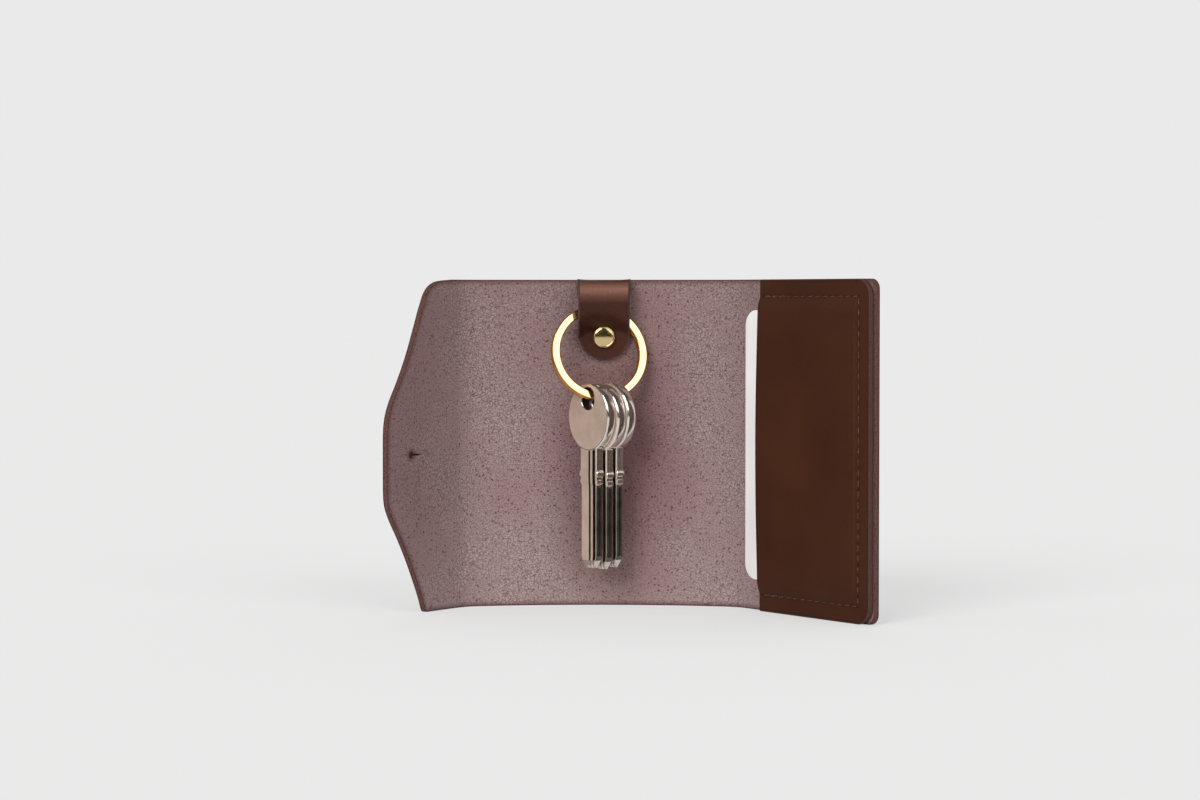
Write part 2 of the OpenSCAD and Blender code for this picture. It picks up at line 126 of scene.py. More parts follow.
def put_in_mesh(name, points, faces, materials, face_slot=None, flat=None, sharp_from=50):
    """A piece from points in millimetres and faces as lists of point numbers. flat gives each
    corner of each face its place on the flat leather, in millimetres, as the UV map."""
    mesh = bpy.data.meshes.new(name)
    mesh.from_pydata((np.asarray(points) * MM).tolist(), [], faces)
    for material in materials:
        mesh.materials.append(material)
    if face_slot is not None:
        mesh.polygons.foreach_set("material_index", np.asarray(face_slot, np.int32))
    if flat is not None:
        mesh.uv_layers.new(name="flat").data.foreach_set("uv", np.asarray(flat, np.float32).ravel())
    mesh.polygons.foreach_set("use_smooth", np.ones(len(mesh.polygons), bool))
    mesh.set_sharp_from_angle(angle=math.radians(sharp_from))
    mesh.update()
    piece = bpy.data.objects.new(name, mesh)
    bpy.context.scene.collection.objects.link(piece)
    return piece


def bands(rings):
    """Quads from each ring of point numbers to the next."""
    after = np.roll(rings, -1, axis=1)
    return np.stack([after[:-1], rings[:-1], rings[1:], after[1:]], axis=-1).reshape(-1, 4)


def leather_sheet(name, a, b, inner, outer, place, materials, spliced=(), holes=(),
                  bevel=EDGE_BEVEL, stitch_hole_shade=None):
    """A closed sheet of leather. a and b are grids of flat places, inner and outer the depths of
    its two faces there, and place turns (a, b, depth) into points. Between the faces a rim
    swells out by the bevel along the outline's normal, square in the middle and rounded to both
    faces, but on the spliced columns, where the next length meets it, it is a flat wall. Each
    face point also stores its distance from the outline, for the burnish that edges get, and
    the painted shade given for it, which darkens it: the shade in stitch holes."""
    count = a.size
    number = np.arange(count).reshape(a.shape)
    quads = np.stack([number[:-1, :-1], number[1:, :-1], number[1:, 1:], number[:-1, 1:]],
                     axis=-1).reshape(-1, 4)
    flat_ab = np.stack([a.ravel(), b.ravel()], axis=-1)
    ring = np.concatenate([number[:, 0], number[-1, 1:], number[-2::-1, -1], number[0, -2:0:-1]])
    after = np.roll(ring, -1)
    along = flat_ab[after] - flat_ab[ring]
    is_splice = np.zeros(count, bool)
    for column in spliced:
        is_splice[number[column]] = True
    normal = unit_rows(along[:, ::-1] * [1, -1])
    normal[is_splice[ring] & is_splice[after]] = 0.0
    normal = unit_rows(normal + np.roll(normal, 1, axis=0))
    normal[is_splice[ring], 0] = 0.0
    swell = np.array([0.0, 0.6, 0.92, 1.0, 1.0, 0.92, 0.6, 0.0]) * bevel
    depth = np.array([0.0, 0.035, 0.1, 0.22, 0.78, 0.9, 0.965, 1.0])
    t_in, t_out = inner.ravel()[ring], outer.ravel()[ring]
    rim_ab = flat_ab[ring] + swell[:, None, None] * normal
    rim_t = t_in + depth[:, None] * (t_out - t_in)
    points = np.concatenate([
        place(*flat_ab.T, inner.ravel()), place(*flat_ab.T, outer.ravel()),
        place(*rim_ab[1:-1].reshape(-1, 2).T, rim_t[1:-1].ravel())])
    between = np.arange(2 * count, len(points)).reshape(-1, len(ring))
    rim = bands(np.vstack([ring, between, ring + count]))
    faces = np.concatenate([quads, quads[:, ::-1] + count, rim])
    slot = np.repeat([0, 1, 2], [len(quads), len(quads), len(rim)])
    run = np.concatenate([[0.0], np.cumsum(np.hypot(*along.T))])
    rim_uv = np.empty((len(depth) - 1, len(ring), 4, 2))
    rim_uv[..., 0] = np.stack([run[1:], run[:-1], run[:-1], run[1:]], axis=-1)
    rim_uv[..., 1] = np.stack([depth[:-1], depth[:-1], depth[1:], depth[1:]], axis=-1)[:, None]
    flat = np.concatenate([flat_ab[quads].reshape(-1, 2), flat_ab[quads[:, ::-1]].reshape(-1, 2),
                           rim_uv.reshape(-1, 2) * [1.0, LEATHER_T]])
    piece = put_in_mesh(name, points, faces.tolist(), materials, slot, flat)
    outline = flat_ab[ring[~is_splice[ring] | ~is_splice[after]]]
    away = np.array([np.hypot(*(outline - spot).T).min() for spot in flat_ab])
    for hole_a, hole_b, hole_r in holes:
        from_hole = np.hypot(*(flat_ab - [hole_a, hole_b]).T) - hole_r
        away = np.minimum(away, np.maximum(0.0, from_hole))
    for label, grid in (("from_edge", away), ("stitch_hole_shade", stitch_hole_shade)):
        values = np.zeros(len(points), np.float32)
        values[:2 * count] = 0.0 if grid is None else np.tile(grid.ravel(), 2)
        piece.data.attributes.new(label, "FLOAT", "POINT").data.foreach_set("value", values)
    return piece


def node(tree, kind, inputs=None, **settings):
    """Adds a node, makes its settings, and gives each input a value or a link."""
    made = tree.nodes.new("ShaderNode" + kind)
    for name, value in settings.items():
        setattr(made, name, value)
    for key, value in (inputs or {}).items():
        if isinstance(value, bpy.types.NodeSocket):
            tree.links.new(value, made.inputs[key])
        else:
            made.inputs[key].default_value = value
    return made


def new_material(name, **sockets):
    """A material with one Principled shader, its sockets set, and its node tree."""
    material = bpy.data.materials.new(name)
    material.use_nodes = True
    shader = material.node_tree.nodes["Principled BSDF"]
    for key, value in sockets.items():
        shader.inputs[key.replace("_", " ")].default_value = value
    return material, material.node_tree, shader


def blended(share, first, second):
    """Colour first at share 0 and second at share 1."""
    mix = node(share.id_data, "Mix", {0: share, 6: first, 7: second}, data_type="RGBA")
    return mix.outputs[2]


def coated(base, *layers):
    """A base colour under layers of others, each given as its share and its hex value."""
    base = colour(base)
    for share, hex_value in layers:
        base = blended(share, base, colour(hex_value))
    return base


def ranged(value, low, high, new_low=0.0, new_high=1.0):
    """value taken from the range low to high on to new_low to new_high."""
    sockets = {0: value, 1: low, 2: high, 3: new_low, 4: new_high}
    return node(value.id_data, "MapRange", sockets).outputs[0]


def joined(first, second, operation="MULTIPLY"):
    """Two values put through one sum, a product unless said otherwise."""
    return node(first.id_data, "Math", {0: first, 1: second}, operation=operation).outputs[0]


def noise(place, per_mm, detail=2.0, roughness=0.5, stretch=None):
    """Noise over flat places in millimetres, with per_mm turns of it in each one."""
    tree = place.id_data
    if stretch is not None:
        place = node(tree, "Mapping", {"Vector": place, "Scale": stretch}).outputs[0]
    return node(tree, "TexNoise", {"Vector": place, "Scale": per_mm, "Detail": detail,
                                   "Roughness": roughness}).outputs[0]


def link_surface(shader, base=None, rough=None, height=None, strength=0.0, depth=0.0):
    """Links a colour and a roughness, and a height as a bump up to depth millimetres deep."""
    tree = shader.id_data
    if height is not None:
        height = node(tree, "Bump", {"Strength": strength, "Distance": depth * MM,
                                     "Height": height}).outputs[0]
    for socket, value in (("Base Color", base), ("Roughness", rough), ("Normal", height)):
        if value is not None:
            tree.links.new(value, shader.inputs[socket])


# Place and size of the painted shadow of the keys and ring on the flesh side, in millimetres along
# and up the hide.
KEY_SHADOW_S = 8.0
KEY_SHADOW_Z = 50.0
KEY_SHADOW_W = 27.0
KEY_SHADOW_H = 62.0


def flesh_side():
    """Waxed flesh side of vegetable-tanned hide: a short matted nap, so no gloss. Pale fibres
    stand out of a mauve ground, pits half a millimetre wide, specks and short cracks are dark,
    and the wax lies unevenly in patches of a few centimetres. Round the keys and ring it is
    painted darker, as painted shadow of them. Edges are burnished reddish brown."""
    material, tree, shader = new_material(
        "waxed_flesh_leather", Roughness=0.8, Specular_IOR_Level=0.2, Sheen_Weight=0.1,
        Sheen_Roughness=0.5)
    place = node(tree, "UVMap", uv_map="flat").outputs[0]
    edge = node(tree, "Attribute", attribute_name="from_edge").outputs["Fac"]
    patches = noise(place, 0.04, 3.0, 0.55)
    fibres = noise(place, 2.1, 5.0, 0.72)
    nap = noise(place, 4.0, 3.0, 0.6)
    pits = noise(place, 0.85, 6.0, 0.78)
    wander = node(tree, "TexNoise", {"Vector": place, "Scale": 0.9, "Detail": 3.0}).outputs[1]
    bent = node(tree, "MixRGB", {0: 1.0, 1: place, 2: wander}, blend_type="ADD").outputs[0]
    cracks = node(tree, "TexVoronoi", {"Vector": bent, "Scale": 0.72},
                  feature="DISTANCE_TO_EDGE").outputs[0]
    wax = ranged(patches, 0.38, 0.62)
    line = joined(joined(ranged(cracks, 0.1, 0.03), wax), ranged(nap, 0.42, 0.56, 0.1, 0.8))
    grains = node(tree, "TexVoronoi", {"Vector": bent, "Scale": 0.95}).outputs
    grain_size = node(tree, "SeparateXYZ", {0: grains[1]}).outputs[0]
    speck = joined(ranged(grains[0], 0.41, 0.2), ranged(grain_size, 0.42, 0.74))
    speck = joined(speck, ranged(patches, 0.4, 0.6, 1.0, 0.55))
    length, height, _ = node(tree, "SeparateXYZ", {0: place}).outputs
    spot = node(tree, "Mapping", {"Vector": place, "Scale": (1 / KEY_SHADOW_W, 1 / KEY_SHADOW_H, 0.0),
                                  "Location": (-KEY_SHADOW_S / KEY_SHADOW_W, -KEY_SHADOW_Z / KEY_SHADOW_H, 0.0)}).outputs[0]
    key_shadow = node(tree, "VectorMath", {0: spot}, operation="LENGTH").outputs[1]
    base = coated(
        "#5F4446",
        (ranged(fibres, 0.39, 0.61), "#AE9B97"),
        (ranged(nap, 0.5, 0.62, 0.0, 0.55), "#BFADA9"),
        # painted shade: darker towards the flap's tip, which is turned away from the main light
        (ranged(length, -44.0, -66.0, 0.0, 0.45), "#694849"),
        # painted shade: darker towards the top edge
        (ranged(height, 55.0, 105.0, 0.0, 0.26), "#6B4B4B"),
        # painted light: paler towards the foot, as if lit from the floor
        (ranged(height, 40.0, 0.0, 0.0, 0.22), "#BCA9A5"),
        # painted shadow of the keys and ring
        (ranged(key_shadow, 1.0, 0.3, 0.0, 0.66), "#6A4546"),
        (ranged(wax, 0.0, 1.0, 0.34, 0.0), "#704C4E"),
        (ranged(pits, 0.41, 0.35, 0.0, 0.9), "#3F2526"),
        (joined(speck, 0.85), "#432528"),
        (line, "#432A2A"),
        (joined(ranged(edge, 1.5, 0.1), ranged(fibres, 0.3, 0.6, 0.9, 0.5)), "#4B2A24"))
    relief = joined(ranged(fibres, 0.3, 0.7), ranged(pits, 0.33, 0.42))
    relief = joined(relief, ranged(nap, 0.3, 0.7, 0.0, 0.4), "ADD")
    relief = joined(relief, line, "SUBTRACT")
    link_surface(shader, base, height=relief, strength=0.6, depth=0.1)
    return material


def grain_side(name="smooth_grain_leather", deep="#371B10", pale="#422415", rough=0.54,
               gloss=0.14, bend=None):
    """Aniline grain side of the same hide: smooth and closed, with fine pores about half a
    millimetre apart and a soft satin from the wax, a little paler where it was handled. Where
    a bend is given, as its start, middle and end along the flat hide, it is painted paler:
    a painted highlight on the bend, with the paling of pull-up leather, whose wax draws back."""
    material, tree, shader = new_material(name, Specular_IOR_Level=gloss,
                                          Specular_Tint=colour("#E8C0AC"))
    place = node(tree, "UVMap", uv_map="flat").outputs[0]
    edge, stitch_hole_shade = [node(tree, "Attribute", attribute_name=label).outputs["Fac"]
                   for label in ("from_edge", "stitch_hole_shade")]
    tone = noise(place, 0.03)
    mottle = noise(place, 1.3, 4.0, 0.6)
    pores = node(tree, "TexVoronoi", {"Vector": place, "Scale": 2.2}).outputs[0]
    layers = [(ranged(tone, 0.3, 0.7), pale),
              (ranged(mottle, 0.35, 0.7, 0.0, 0.22), "#54342A"),
              (ranged(pores, 0.12, 0.02, 0.0, 0.35), "#24120D"),
              (ranged(edge, 0.9, 0.1, 0.0, 0.4), "#28140E")]
    if bend:
        along = node(tree, "SeparateXYZ", {0: place}).outputs[1]
        start, middle, end = bend
        # A paler band across the bend: painted highlight, with the paling of pull-up leather.
        pull_up_and_highlight = joined(ranged(along, start, middle), ranged(along, end, middle))
        layers.append((joined(pull_up_and_highlight, ranged(mottle, 0.3, 0.7, 0.75, 1.0)), "#80594C"))
    height = joined(ranged(pores, 0.0, 0.3), ranged(mottle, 0.3, 0.7, 0.8, 1.0))
    # Stitch holes painted nearly black: painted shade in the holes.
    link_surface(shader, coated(deep, *layers, (stitch_hole_shade, "#0F0706")),
                 ranged(mottle, 0.35, 0.65, rough - 0.06, rough + 0.06), height, 0.14, 0.04)
    return material


def cut_edge(name="bevelled_cut_edge", pale="#7A5149", deep="#2C1815"):
    """Cut edge of the hide, bevelled and rubbed with wax: matted fibre like the flesh side, and
    darker towards the grain side, where the tool pressed it."""
    material, tree, shader = new_material(name, Roughness=0.66, Specular_IOR_Level=0.25)
    place = node(tree, "UVMap", uv_map="flat").outputs[0]
    depth = node(tree, "SeparateXYZ", {0: place}).outputs[1]
    streaks = noise(place, 2.6, 4.0, 0.8, stretch=(1.0, 0.8, 1.0))
    pits = noise(place, 1.2, 4.0, 0.7)
    base = coated(deep,
                  (ranged(streaks, 0.4, 0.62), pale),
                  (ranged(pits, 0.44, 0.36, 0.0, 0.8), "#2C1817"),
                  (ranged(depth, 1.2, 2.0, 0.0, 0.8), "#25110F"),
                  (ranged(depth, 0.4, 0.0, 0.0, 0.45), "#3A211C"))
    link_surface(shader, base, height=streaks, strength=0.5, depth=0.08)
    return material


flesh = flesh_side()
grain = grain_side()
edge_fibre = cut_edge()


def bend_with(piece):
    """Bakes a length of leather's placement into its points. It is not made to bend here."""
    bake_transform(piece)


# Plain lengths of the hide: the middle of the case with half a spine at each side, cut square
# at the splices. A notch in the top edge makes room for the foot of the ring tab.
edge_rows = EDGE_BEVEL + np.array([0.0, 0.25, 0.6, 1.1, 1.8])
heights = np.concatenate([edge_rows, steps(EDGE_BEVEL + 2.8, CASE_H - EDGE_BEVEL - 2.8, 1.6),
                          CASE_H - edge_rows[::-1]])
NOTCH_MIDDLE = 2.8
NOTCH_W = 16.6
NOTCH_DEPTH = 5.0


def plain_length(name, start, end):
    """A strip of the hide at full height, from one splice to another."""
    a, b = np.meshgrid(steps(start, end, 0.9), heights, indexing="ij")
    return leather_sheet(name, a, b, 0 * a, 0 * a + LEATHER_T, on_body,
                         [flesh, grain, edge_fibre], spliced=(0, -1))


def tube_faces(rings):
    """Faces of a closed tube: the bands between its rings of point numbers, and both ends."""
    return bands(rings).tolist() + [rings[0].tolist(), rings[-1, ::-1].tolist()]


def bore(piece, near, far):
    """Takes the prism between two outlines, the near one counter-clockwise as seen, out of the
    piece. Its walls are cut leather."""
    number = np.arange(2 * len(near)).reshape(2, -1)
    cutter = put_in_mesh("cutter", np.concatenate([near, far]), tube_faces(number), [edge_fibre])
    hole = piece.modifiers.new("hole", "BOOLEAN")
    hole.object = cutter
    hole.operation = "DIFFERENCE"
    hole.solver = "EXACT"
    hole.material_mode = "TRANSFER"
    bpy.context.view_layer.update()
    shape = bpy.data.meshes.new_from_object(
        piece.evaluated_get(bpy.context.evaluated_depsgraph_get()))
    shape.name = piece.name
    piece.modifiers.clear()
    piece.data = shape
    bpy.data.objects.remove(cutter)


left_middle = plain_length("left_middle_leather", LEFT_SPLICE, 0.0)
right_middle = plain_length("right_middle_leather", 0.0, RIGHT_SPLICE)
CUT_OVERRUN = 2.0
notch_left, notch_right = NOTCH_MIDDLE - NOTCH_W / 2, NOTCH_MIDDLE + NOTCH_W / 2
notch_foot, notch_top = CASE_H - NOTCH_DEPTH, CASE_H + CUT_OVERRUN
notch = DEEPEST + [[notch_left, 0, notch_foot], [notch_right, 0, notch_foot],
                   [notch_right, 0, notch_top], [notch_left, 0, notch_top]]
for length in (left_middle, right_middle):
    bore(length, notch - [0, CUT_OVERRUN, 0], notch + [0, LEATHER_T + CUT_OVERRUN, 0])
bend_with(left_middle)
bend_with(right_middle)
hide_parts("body_middle", "left_spine")
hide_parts("right_spine")


# Closing flap: the left end of the hide, drawn in by two long curves to a blunt tip. On its
# centre line a button hole is punched, with a slit beside it that lets the stud in; both have
# closed up, as leather does, so the slit shows as a furrow.
FLAP_MIDDLE_Z = 50.0
FLAP_TIP_H = 26.0
FLAP_LEN_SHARES = [1.61, 1.322, 1.176, 1.063, 0.99, 0.937, 0.888, 0.82, 0.72, 0.522, 0.317,
                   0.146, 0.05, 0.012, 0.0]
FLAP_RISE_SHARES = [1.0, 0.991, 0.977, 0.95, 0.918, 0.882, 0.832, 0.762, 0.642, 0.42, 0.234,
                    0.098, -0.008, -0.097, -0.188]
FLAP_FOOT_SHARES = [1.0, 1.0, 1.0, 1.0, 1.0, 1.0, 0.984, 0.885, 0.765, 0.547, 0.352,
                    0.206, 0.105, 0.029, -0.064]
HOLE_FROM_TIP = 11.5
HOLE_D = 2.3
SLIT_START = 0.2
SLIT_L = 3.4
SLIT_POINT_L = 1.5
SLIT_W = 0.45
SLIT_DEPTH = 1.3


def curve_through(values, samples):
    """A smooth curve through given values at even steps, as cubic pieces whose slope at each
    value is half the difference of its neighbours."""
    values = np.asarray(values, float)
    slope = np.gradient(values)
    where = np.linspace(0, len(values) - 1, samples)
    k = np.minimum(where.astype(int), len(values) - 2)
    f = where - k
    return ((1 + 2 * f) * (1 - f) ** 2 * values[k] + f * (1 - f) ** 2 * slope[k]
            + f * f * (3 - 2 * f) * values[k + 1] + f * f * (f - 1) * slope[k + 1])


def flap_grid():
    """Grids for the last length: columns from the tip to the splice, whose ends follow the
    flap's upper and lower curves, drawn in by the width of the bevel."""
    taper_l = LEFT_OUTER_FOLD - FLAP_TIP
    half_tip = FLAP_TIP_H / 2
    top_run = CASE_H - EDGE_BEVEL - FLAP_MIDDLE_Z - half_tip
    foot_run = FLAP_MIDDLE_Z - half_tip - EDGE_BEVEL
    samples = 84
    far = curve_through(FLAP_LEN_SHARES, samples)[::-1] * taper_l
    top = FLAP_MIDDLE_Z + half_tip + curve_through(FLAP_RISE_SHARES, samples)[::-1] * top_run
    foot = FLAP_MIDDLE_Z - half_tip - curve_through(FLAP_FOOT_SHARES, samples)[::-1] * foot_run
    s = FLAP_TIP + EDGE_BEVEL + far * (LEFT_SPLICE - FLAP_TIP - EDGE_BEVEL) / far[-1]
    share = (heights - heights[0]) / (heights[-1] - heights[0])
    z = foot[:, None] + share * (top - foot)[:, None]
    return np.repeat(s[:, None], len(heights), axis=1), z


hole_s = FLAP_TIP + HOLE_FROM_TIP
flap_s, flap_z = flap_grid()
flap = leather_sheet("flap_leather", flap_s, flap_z, 0 * flap_s, 0 * flap_s + LEATHER_T, on_body,
                     [flesh, grain, edge_fibre], spliced=(-1,),
                     holes=[(hole_s, FLAP_MIDDLE_Z, HOLE_D / 2)])


def turns(count):
    """count even angles round a full turn."""
    return np.linspace(0, 2 * math.pi, count, endpoint=False)


def punch(outline, depth):
    """Both ends of a punch with the given outline about the button hole, driven in from the
    flesh side to the given depth."""
    s, z = hole_s + outline[:, 0], FLAP_MIDDLE_Z + outline[:, 1]
    return on_body(s, z, -CUT_OVERRUN), on_body(s, z, depth)


punch_turn = turns(28)
hole_outline = np.stack([np.cos(punch_turn), np.sin(punch_turn)], axis=-1) * HOLE_D / 2
bore(flap, *punch(hole_outline, LEATHER_T + CUT_OVERRUN))
slit_end = HOLE_D / 2 + SLIT_L
slit_neck = slit_end - SLIT_POINT_L
slit_outline = np.array([[SLIT_START, -SLIT_W / 2], [slit_neck, -SLIT_W / 2], [slit_end, 0.0],
                         [slit_neck, SLIT_W / 2], [SLIT_START, SLIT_W / 2]])
bore(flap, *punch(slit_outline, SLIT_DEPTH))
bend_with(flap)
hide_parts("left_flap")


# Pocket panel: the right end of the hide, with round free corners. The seam pulls a fine groove
# into its grain side, where the back of the thread lies.
PANEL_CORNER_R = 3.2
SEAM_INSET = 5.4
SEAM_NEAR = np.arange(-0.8, 0.81, 0.2)
STITCH_PITCH = 3.2
POCKET_W = 52.0
MOUTH = PANEL_END - POCKET_W
SEAM_END_GAP = 2.0


def seam_rows(pitch):
    """Heights from edge to edge, closer beside the two long rows of the seam."""
    low, high = SEAM_INSET, CASE_H - SEAM_INSET
    margin = EDGE_BEVEL + np.array([0.0, 0.25, 0.65, 1.25, 2.2, 3.2])
    return np.concatenate([margin, low + SEAM_NEAR, steps(low + 1.6, high - 1.6, pitch),
                           high + SEAM_NEAR, CASE_H - margin[::-1]])


def panel_grid(start, end, corner_r, pitch):
    """Grids of a panel that starts at a straight column and ends in round corners: each column
    within the corner is cut short by the circle."""
    end = end - EDGE_BEVEL
    corner_r = corner_r - EDGE_BEVEL
    seam_s = PANEL_END - SEAM_INSET
    arc = end - corner_r + np.sin(np.linspace(0, math.pi / 2, 14)) * corner_r
    s = np.concatenate([steps(start, end - corner_r - 0.3, pitch), arc])
    s = np.sort(np.concatenate([s[np.abs(s - seam_s) > 0.9], seam_s + SEAM_NEAR]))
    past = np.maximum(0.0, s - (end - corner_r))
    cut = corner_r - np.sqrt(np.maximum(0.0, corner_r ** 2 - past ** 2))
    rows = seam_rows(pitch)
    share = (rows - rows[0]) / (rows[-1] - rows[0])
    z = (rows[0] + cut)[:, None] + share * (rows[-1] - rows[0] - 2 * cut)[:, None]
    return np.repeat(s[:, None], len(rows), axis=1), z


def seam_distance(s, z):
    """Distance from the seam's three straight rows, and the place along the row."""
    low, high, end = SEAM_INSET, CASE_H - SEAM_INSET, PANEL_END - SEAM_INSET
    first = MOUTH + SEAM_END_GAP
    along_s = np.clip(s, first, end)
    along_z = np.clip(z, low, high)
    ways = np.stack([np.hypot(s - along_s, z - low), np.hypot(s - along_s, z - high),
                     np.hypot(s - end, z - along_z)])
    place = np.stack([along_s - first, along_s - first, along_z - low])
    nearest = ways.argmin(axis=0)
    return (np.take_along_axis(ways, nearest[None], 0)[0],
            np.take_along_axis(place, nearest[None], 0)[0])


def stitch_holes(s, z):
    """1 at the middle of each stitch hole and 0 from half a millimetre away."""
    away, place = seam_distance(s, z)
    beat = 0.5 + 0.5 * np.cos(2 * math.pi * place / STITCH_PITCH)
    return np.exp(-(away / 0.35) ** 2) * beat ** 10


def seam_groove(s, z, depth):
    """How far the thread has pulled the leather in: a groove, deeper at each stitch hole."""
    away = seam_distance(s, z)[0]
    return depth * (0.6 * np.exp(-(away / 0.45) ** 2) + 0.6 * stitch_holes(s, z))


panel_s, panel_z = panel_grid(RIGHT_SPLICE, PANEL_END, PANEL_CORNER_R, 0.7)
panel_outer = LEATHER_T - seam_groove(panel_s, panel_z, 0.22)
# The stitch holes on the panel and the pocket are painted dark: painted shade.
panel = leather_sheet("panel_leather", panel_s, panel_z, 0 * panel_s, panel_outer, on_body,
                      [flesh, grain, edge_fibre], spliced=(0,),
                      stitch_hole_shade=0.8 * stitch_holes(panel_s, panel_z))
bend_with(panel)
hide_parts("right_panel")


# Pocket: a second cut of the same hide, grain side up, sewn to the panel on three sides. The
# card lifts it into a low flat field, and the mouth stands a little open towards the fold.
POCKET_T = 2.0
POCKET_CORNER_R = 5.5
CARD_GAP = 0.9
CARD_TOP = 95.3
CARD_FOOT = 9.7
CARD_FAR = PANEL_END - 6.4
MOUTH_LIFT = 1.0
MOUTH_LIFT_REACH = 15.0
SEAM_PRESS = 0.3
FAR_RISE_L = 0.8
SHEET_GAP = 0.02

pocket_s, pocket_z = panel_grid(MOUTH + EDGE_BEVEL, PANEL_END - 0.4, POCKET_CORNER_R, 0.5)


def eased(x):
    """0 up to x = 0 and 1 from x = 1 on, rising at once and flattening out like a sine."""
    return np.sin(np.clip(x, 0.0, 1.0) * math.pi / 2)


def pocket_gap(s, z):
    """Room between the two leathers: none at the seam, the card's own past its edges, and a
    lift at the mouth that dies away into the pocket."""
    margin = SEAM_INSET + SEAM_PRESS
    low = eased((z - margin) / (CARD_FOOT - margin))
    high = eased((CASE_H - margin - z) / (CASE_H - margin - CARD_TOP))
    far = eased((PANEL_END - margin - s) / FAR_RISE_L)
    rise = np.clip((z - SEAM_INSET) / (CASE_H - 2 * SEAM_INSET), 0, 1)
    lift = MOUTH_LIFT * np.exp(-((s - MOUTH) / MOUTH_LIFT_REACH) ** 2) * np.sin(math.pi * rise)
    return CARD_GAP * low * high * far + lift * far + SHEET_GAP


gap = pocket_gap(pocket_s, pocket_z)
pocket_front = -gap - POCKET_T + seam_groove(pocket_s, pocket_z, 0.3)


pocket = leather_sheet("pocket_leather", pocket_s, pocket_z, pocket_front, -gap, on_body,
                       [grain, flesh, cut_edge("pocket_cut_edge", "#5C3D35", "#3D251F")],
                       stitch_hole_shade=0.85 * stitch_holes(pocket_s, pocket_z))
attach(pocket, "right_panel")
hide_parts("card_pocket")


# Seam: one waxed thread in the leather's own tone, in saddle stitch. Each stitch lies slightly
# aslant in the groove, and the first three at each side of the mouth are sewn twice.
STITCH_LEAN = 0.35
TWICE_SEWN = 3


def waxed_thread():
    """Waxed polyester thread on a lilac-brown ground, with small pale spots along its twist that
    are painted highlights.
    """
    material, tree, shader = new_material("waxed_thread", Roughness=0.5, Specular_IOR_Level=0.25)
    twist_highlights = noise(node(tree, "TexCoord").outputs["Object"], 1.8 / MM)
    link_surface(shader, coated("#3B221B", (ranged(twist_highlights, 0.4, 0.7), "#6E5048")))
    return material


def stitches(name, level, outwards, thick):
    """Short spindles of thread laid end to end along the seam's three rows. Each is a ring of
    points carried along its own bowed axis, thickest in the middle, that dips at both ends.
    level gives the depth of the axis at a place, and outwards is 1 or -1, the way that the
    thread stands out of the leather."""
    first, end = MOUTH + SEAM_END_GAP, PANEL_END - SEAM_INSET
    low, high = SEAM_INSET, CASE_H - SEAM_INSET
    u, turn = np.linspace(-1, 1, 9), turns(8)
    ring = np.arange(len(u) * len(turn)).reshape(len(u), -1)
    bulge = np.sqrt(np.maximum(0.02, 1 - np.abs(u) ** 3))
    points, faces = [], []
    for s0, z0, s1, z1 in ((first, low, end, low), (first, high, end, high), (end, low, end, high)):
        count = int(math.hypot(s1 - s0, z1 - z0) // STITCH_PITCH)
        step = np.array([s1 - s0, z1 - z0]) / count
        pitch = np.hypot(*step)
        way = step / pitch
        side = np.array([-way[1], way[0]])
        for k in range(count):
            twice = k < TWICE_SEWN and s0 != s1
            reach = pitch * (0.5 if twice else 0.4)
            girth = thick * (1.45 if twice else 1.0)
            axis = (np.array([s0, z0]) + step * (k + 0.5) + np.outer(u * reach, way)
                    + np.outer(STITCH_LEAN * u * thick, side))
            radius = girth / 2 * bulge[:, None]
            s = axis[:, :1] + radius * np.cos(turn) * side[0]
            z = axis[:, 1:] + radius * np.cos(turn) * side[1]
            rise = radius * np.sin(turn) - 0.5 * girth * u[:, None] ** 2
            faces += tube_faces(ring[:, ::outwards] + len(points) * ring.size)
            points.append(on_body(s, z, level(s, z) + outwards * rise).reshape(-1, 3))
    return put_in_mesh(name, np.concatenate(points), faces, [thread])


thread = waxed_thread()
front_thread = stitches("pocket_thread", lambda s, z: -pocket_gap(s, z) - POCKET_T + 0.16, -1, 0.44)
back_thread = stitches("panel_back_thread", lambda s, z: LEATHER_T - 0.1, 1, 0.55)
for piece, cad_node in ((front_thread, "pocket_thread_front"), (back_thread, "pocket_thread_back")):
    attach(piece, "right_panel")
    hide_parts(cad_node)


# Card: a blank plastic card of the common size, satin white, cut with round corners. It is
# pushed into the pocket and stands 8 mm out of it.
CARD_T = 0.76
CARD_NEAR = MOUTH - 8.4
CARD_CORNER_R = 5.0
CARD_DEPTH = -0.45


def satin_card():
    """Laminated PVC: white, even, with a faint moulded texture that only softens its gloss."""
    material, tree, shader = new_material("satin_card_plastic", Roughness=0.38,
                                          Specular_IOR_Level=0.45)
    place = node(tree, "TexCoord").outputs["Object"]
    base = coated("#EDECEB", (ranged(noise(place, 0.05 / MM), 0.3, 0.7), "#F4F3F2"))
    link_surface(shader, base, height=noise(place, 2.0 / MM), strength=0.05, depth=0.02)
    return material


def round_outline(low, high, radius, per_corner):
    """The outline of a rectangle with round corners, counter-clockwise, as an array."""
    corners = [(high[0] - radius, low[1] + radius, -90), (high[0] - radius, high[1] - radius, 0),
               (low[0] + radius, high[1] - radius, 90), (low[0] + radius, low[1] + radius, 180)]
    arc = np.linspace(0, math.pi / 2, per_corner)
    return np.concatenate([
        np.stack([x + radius * np.cos(arc + math.radians(start)),
                  y + radius * np.sin(arc + math.radians(start))], axis=-1)
        for x, y, start in corners])


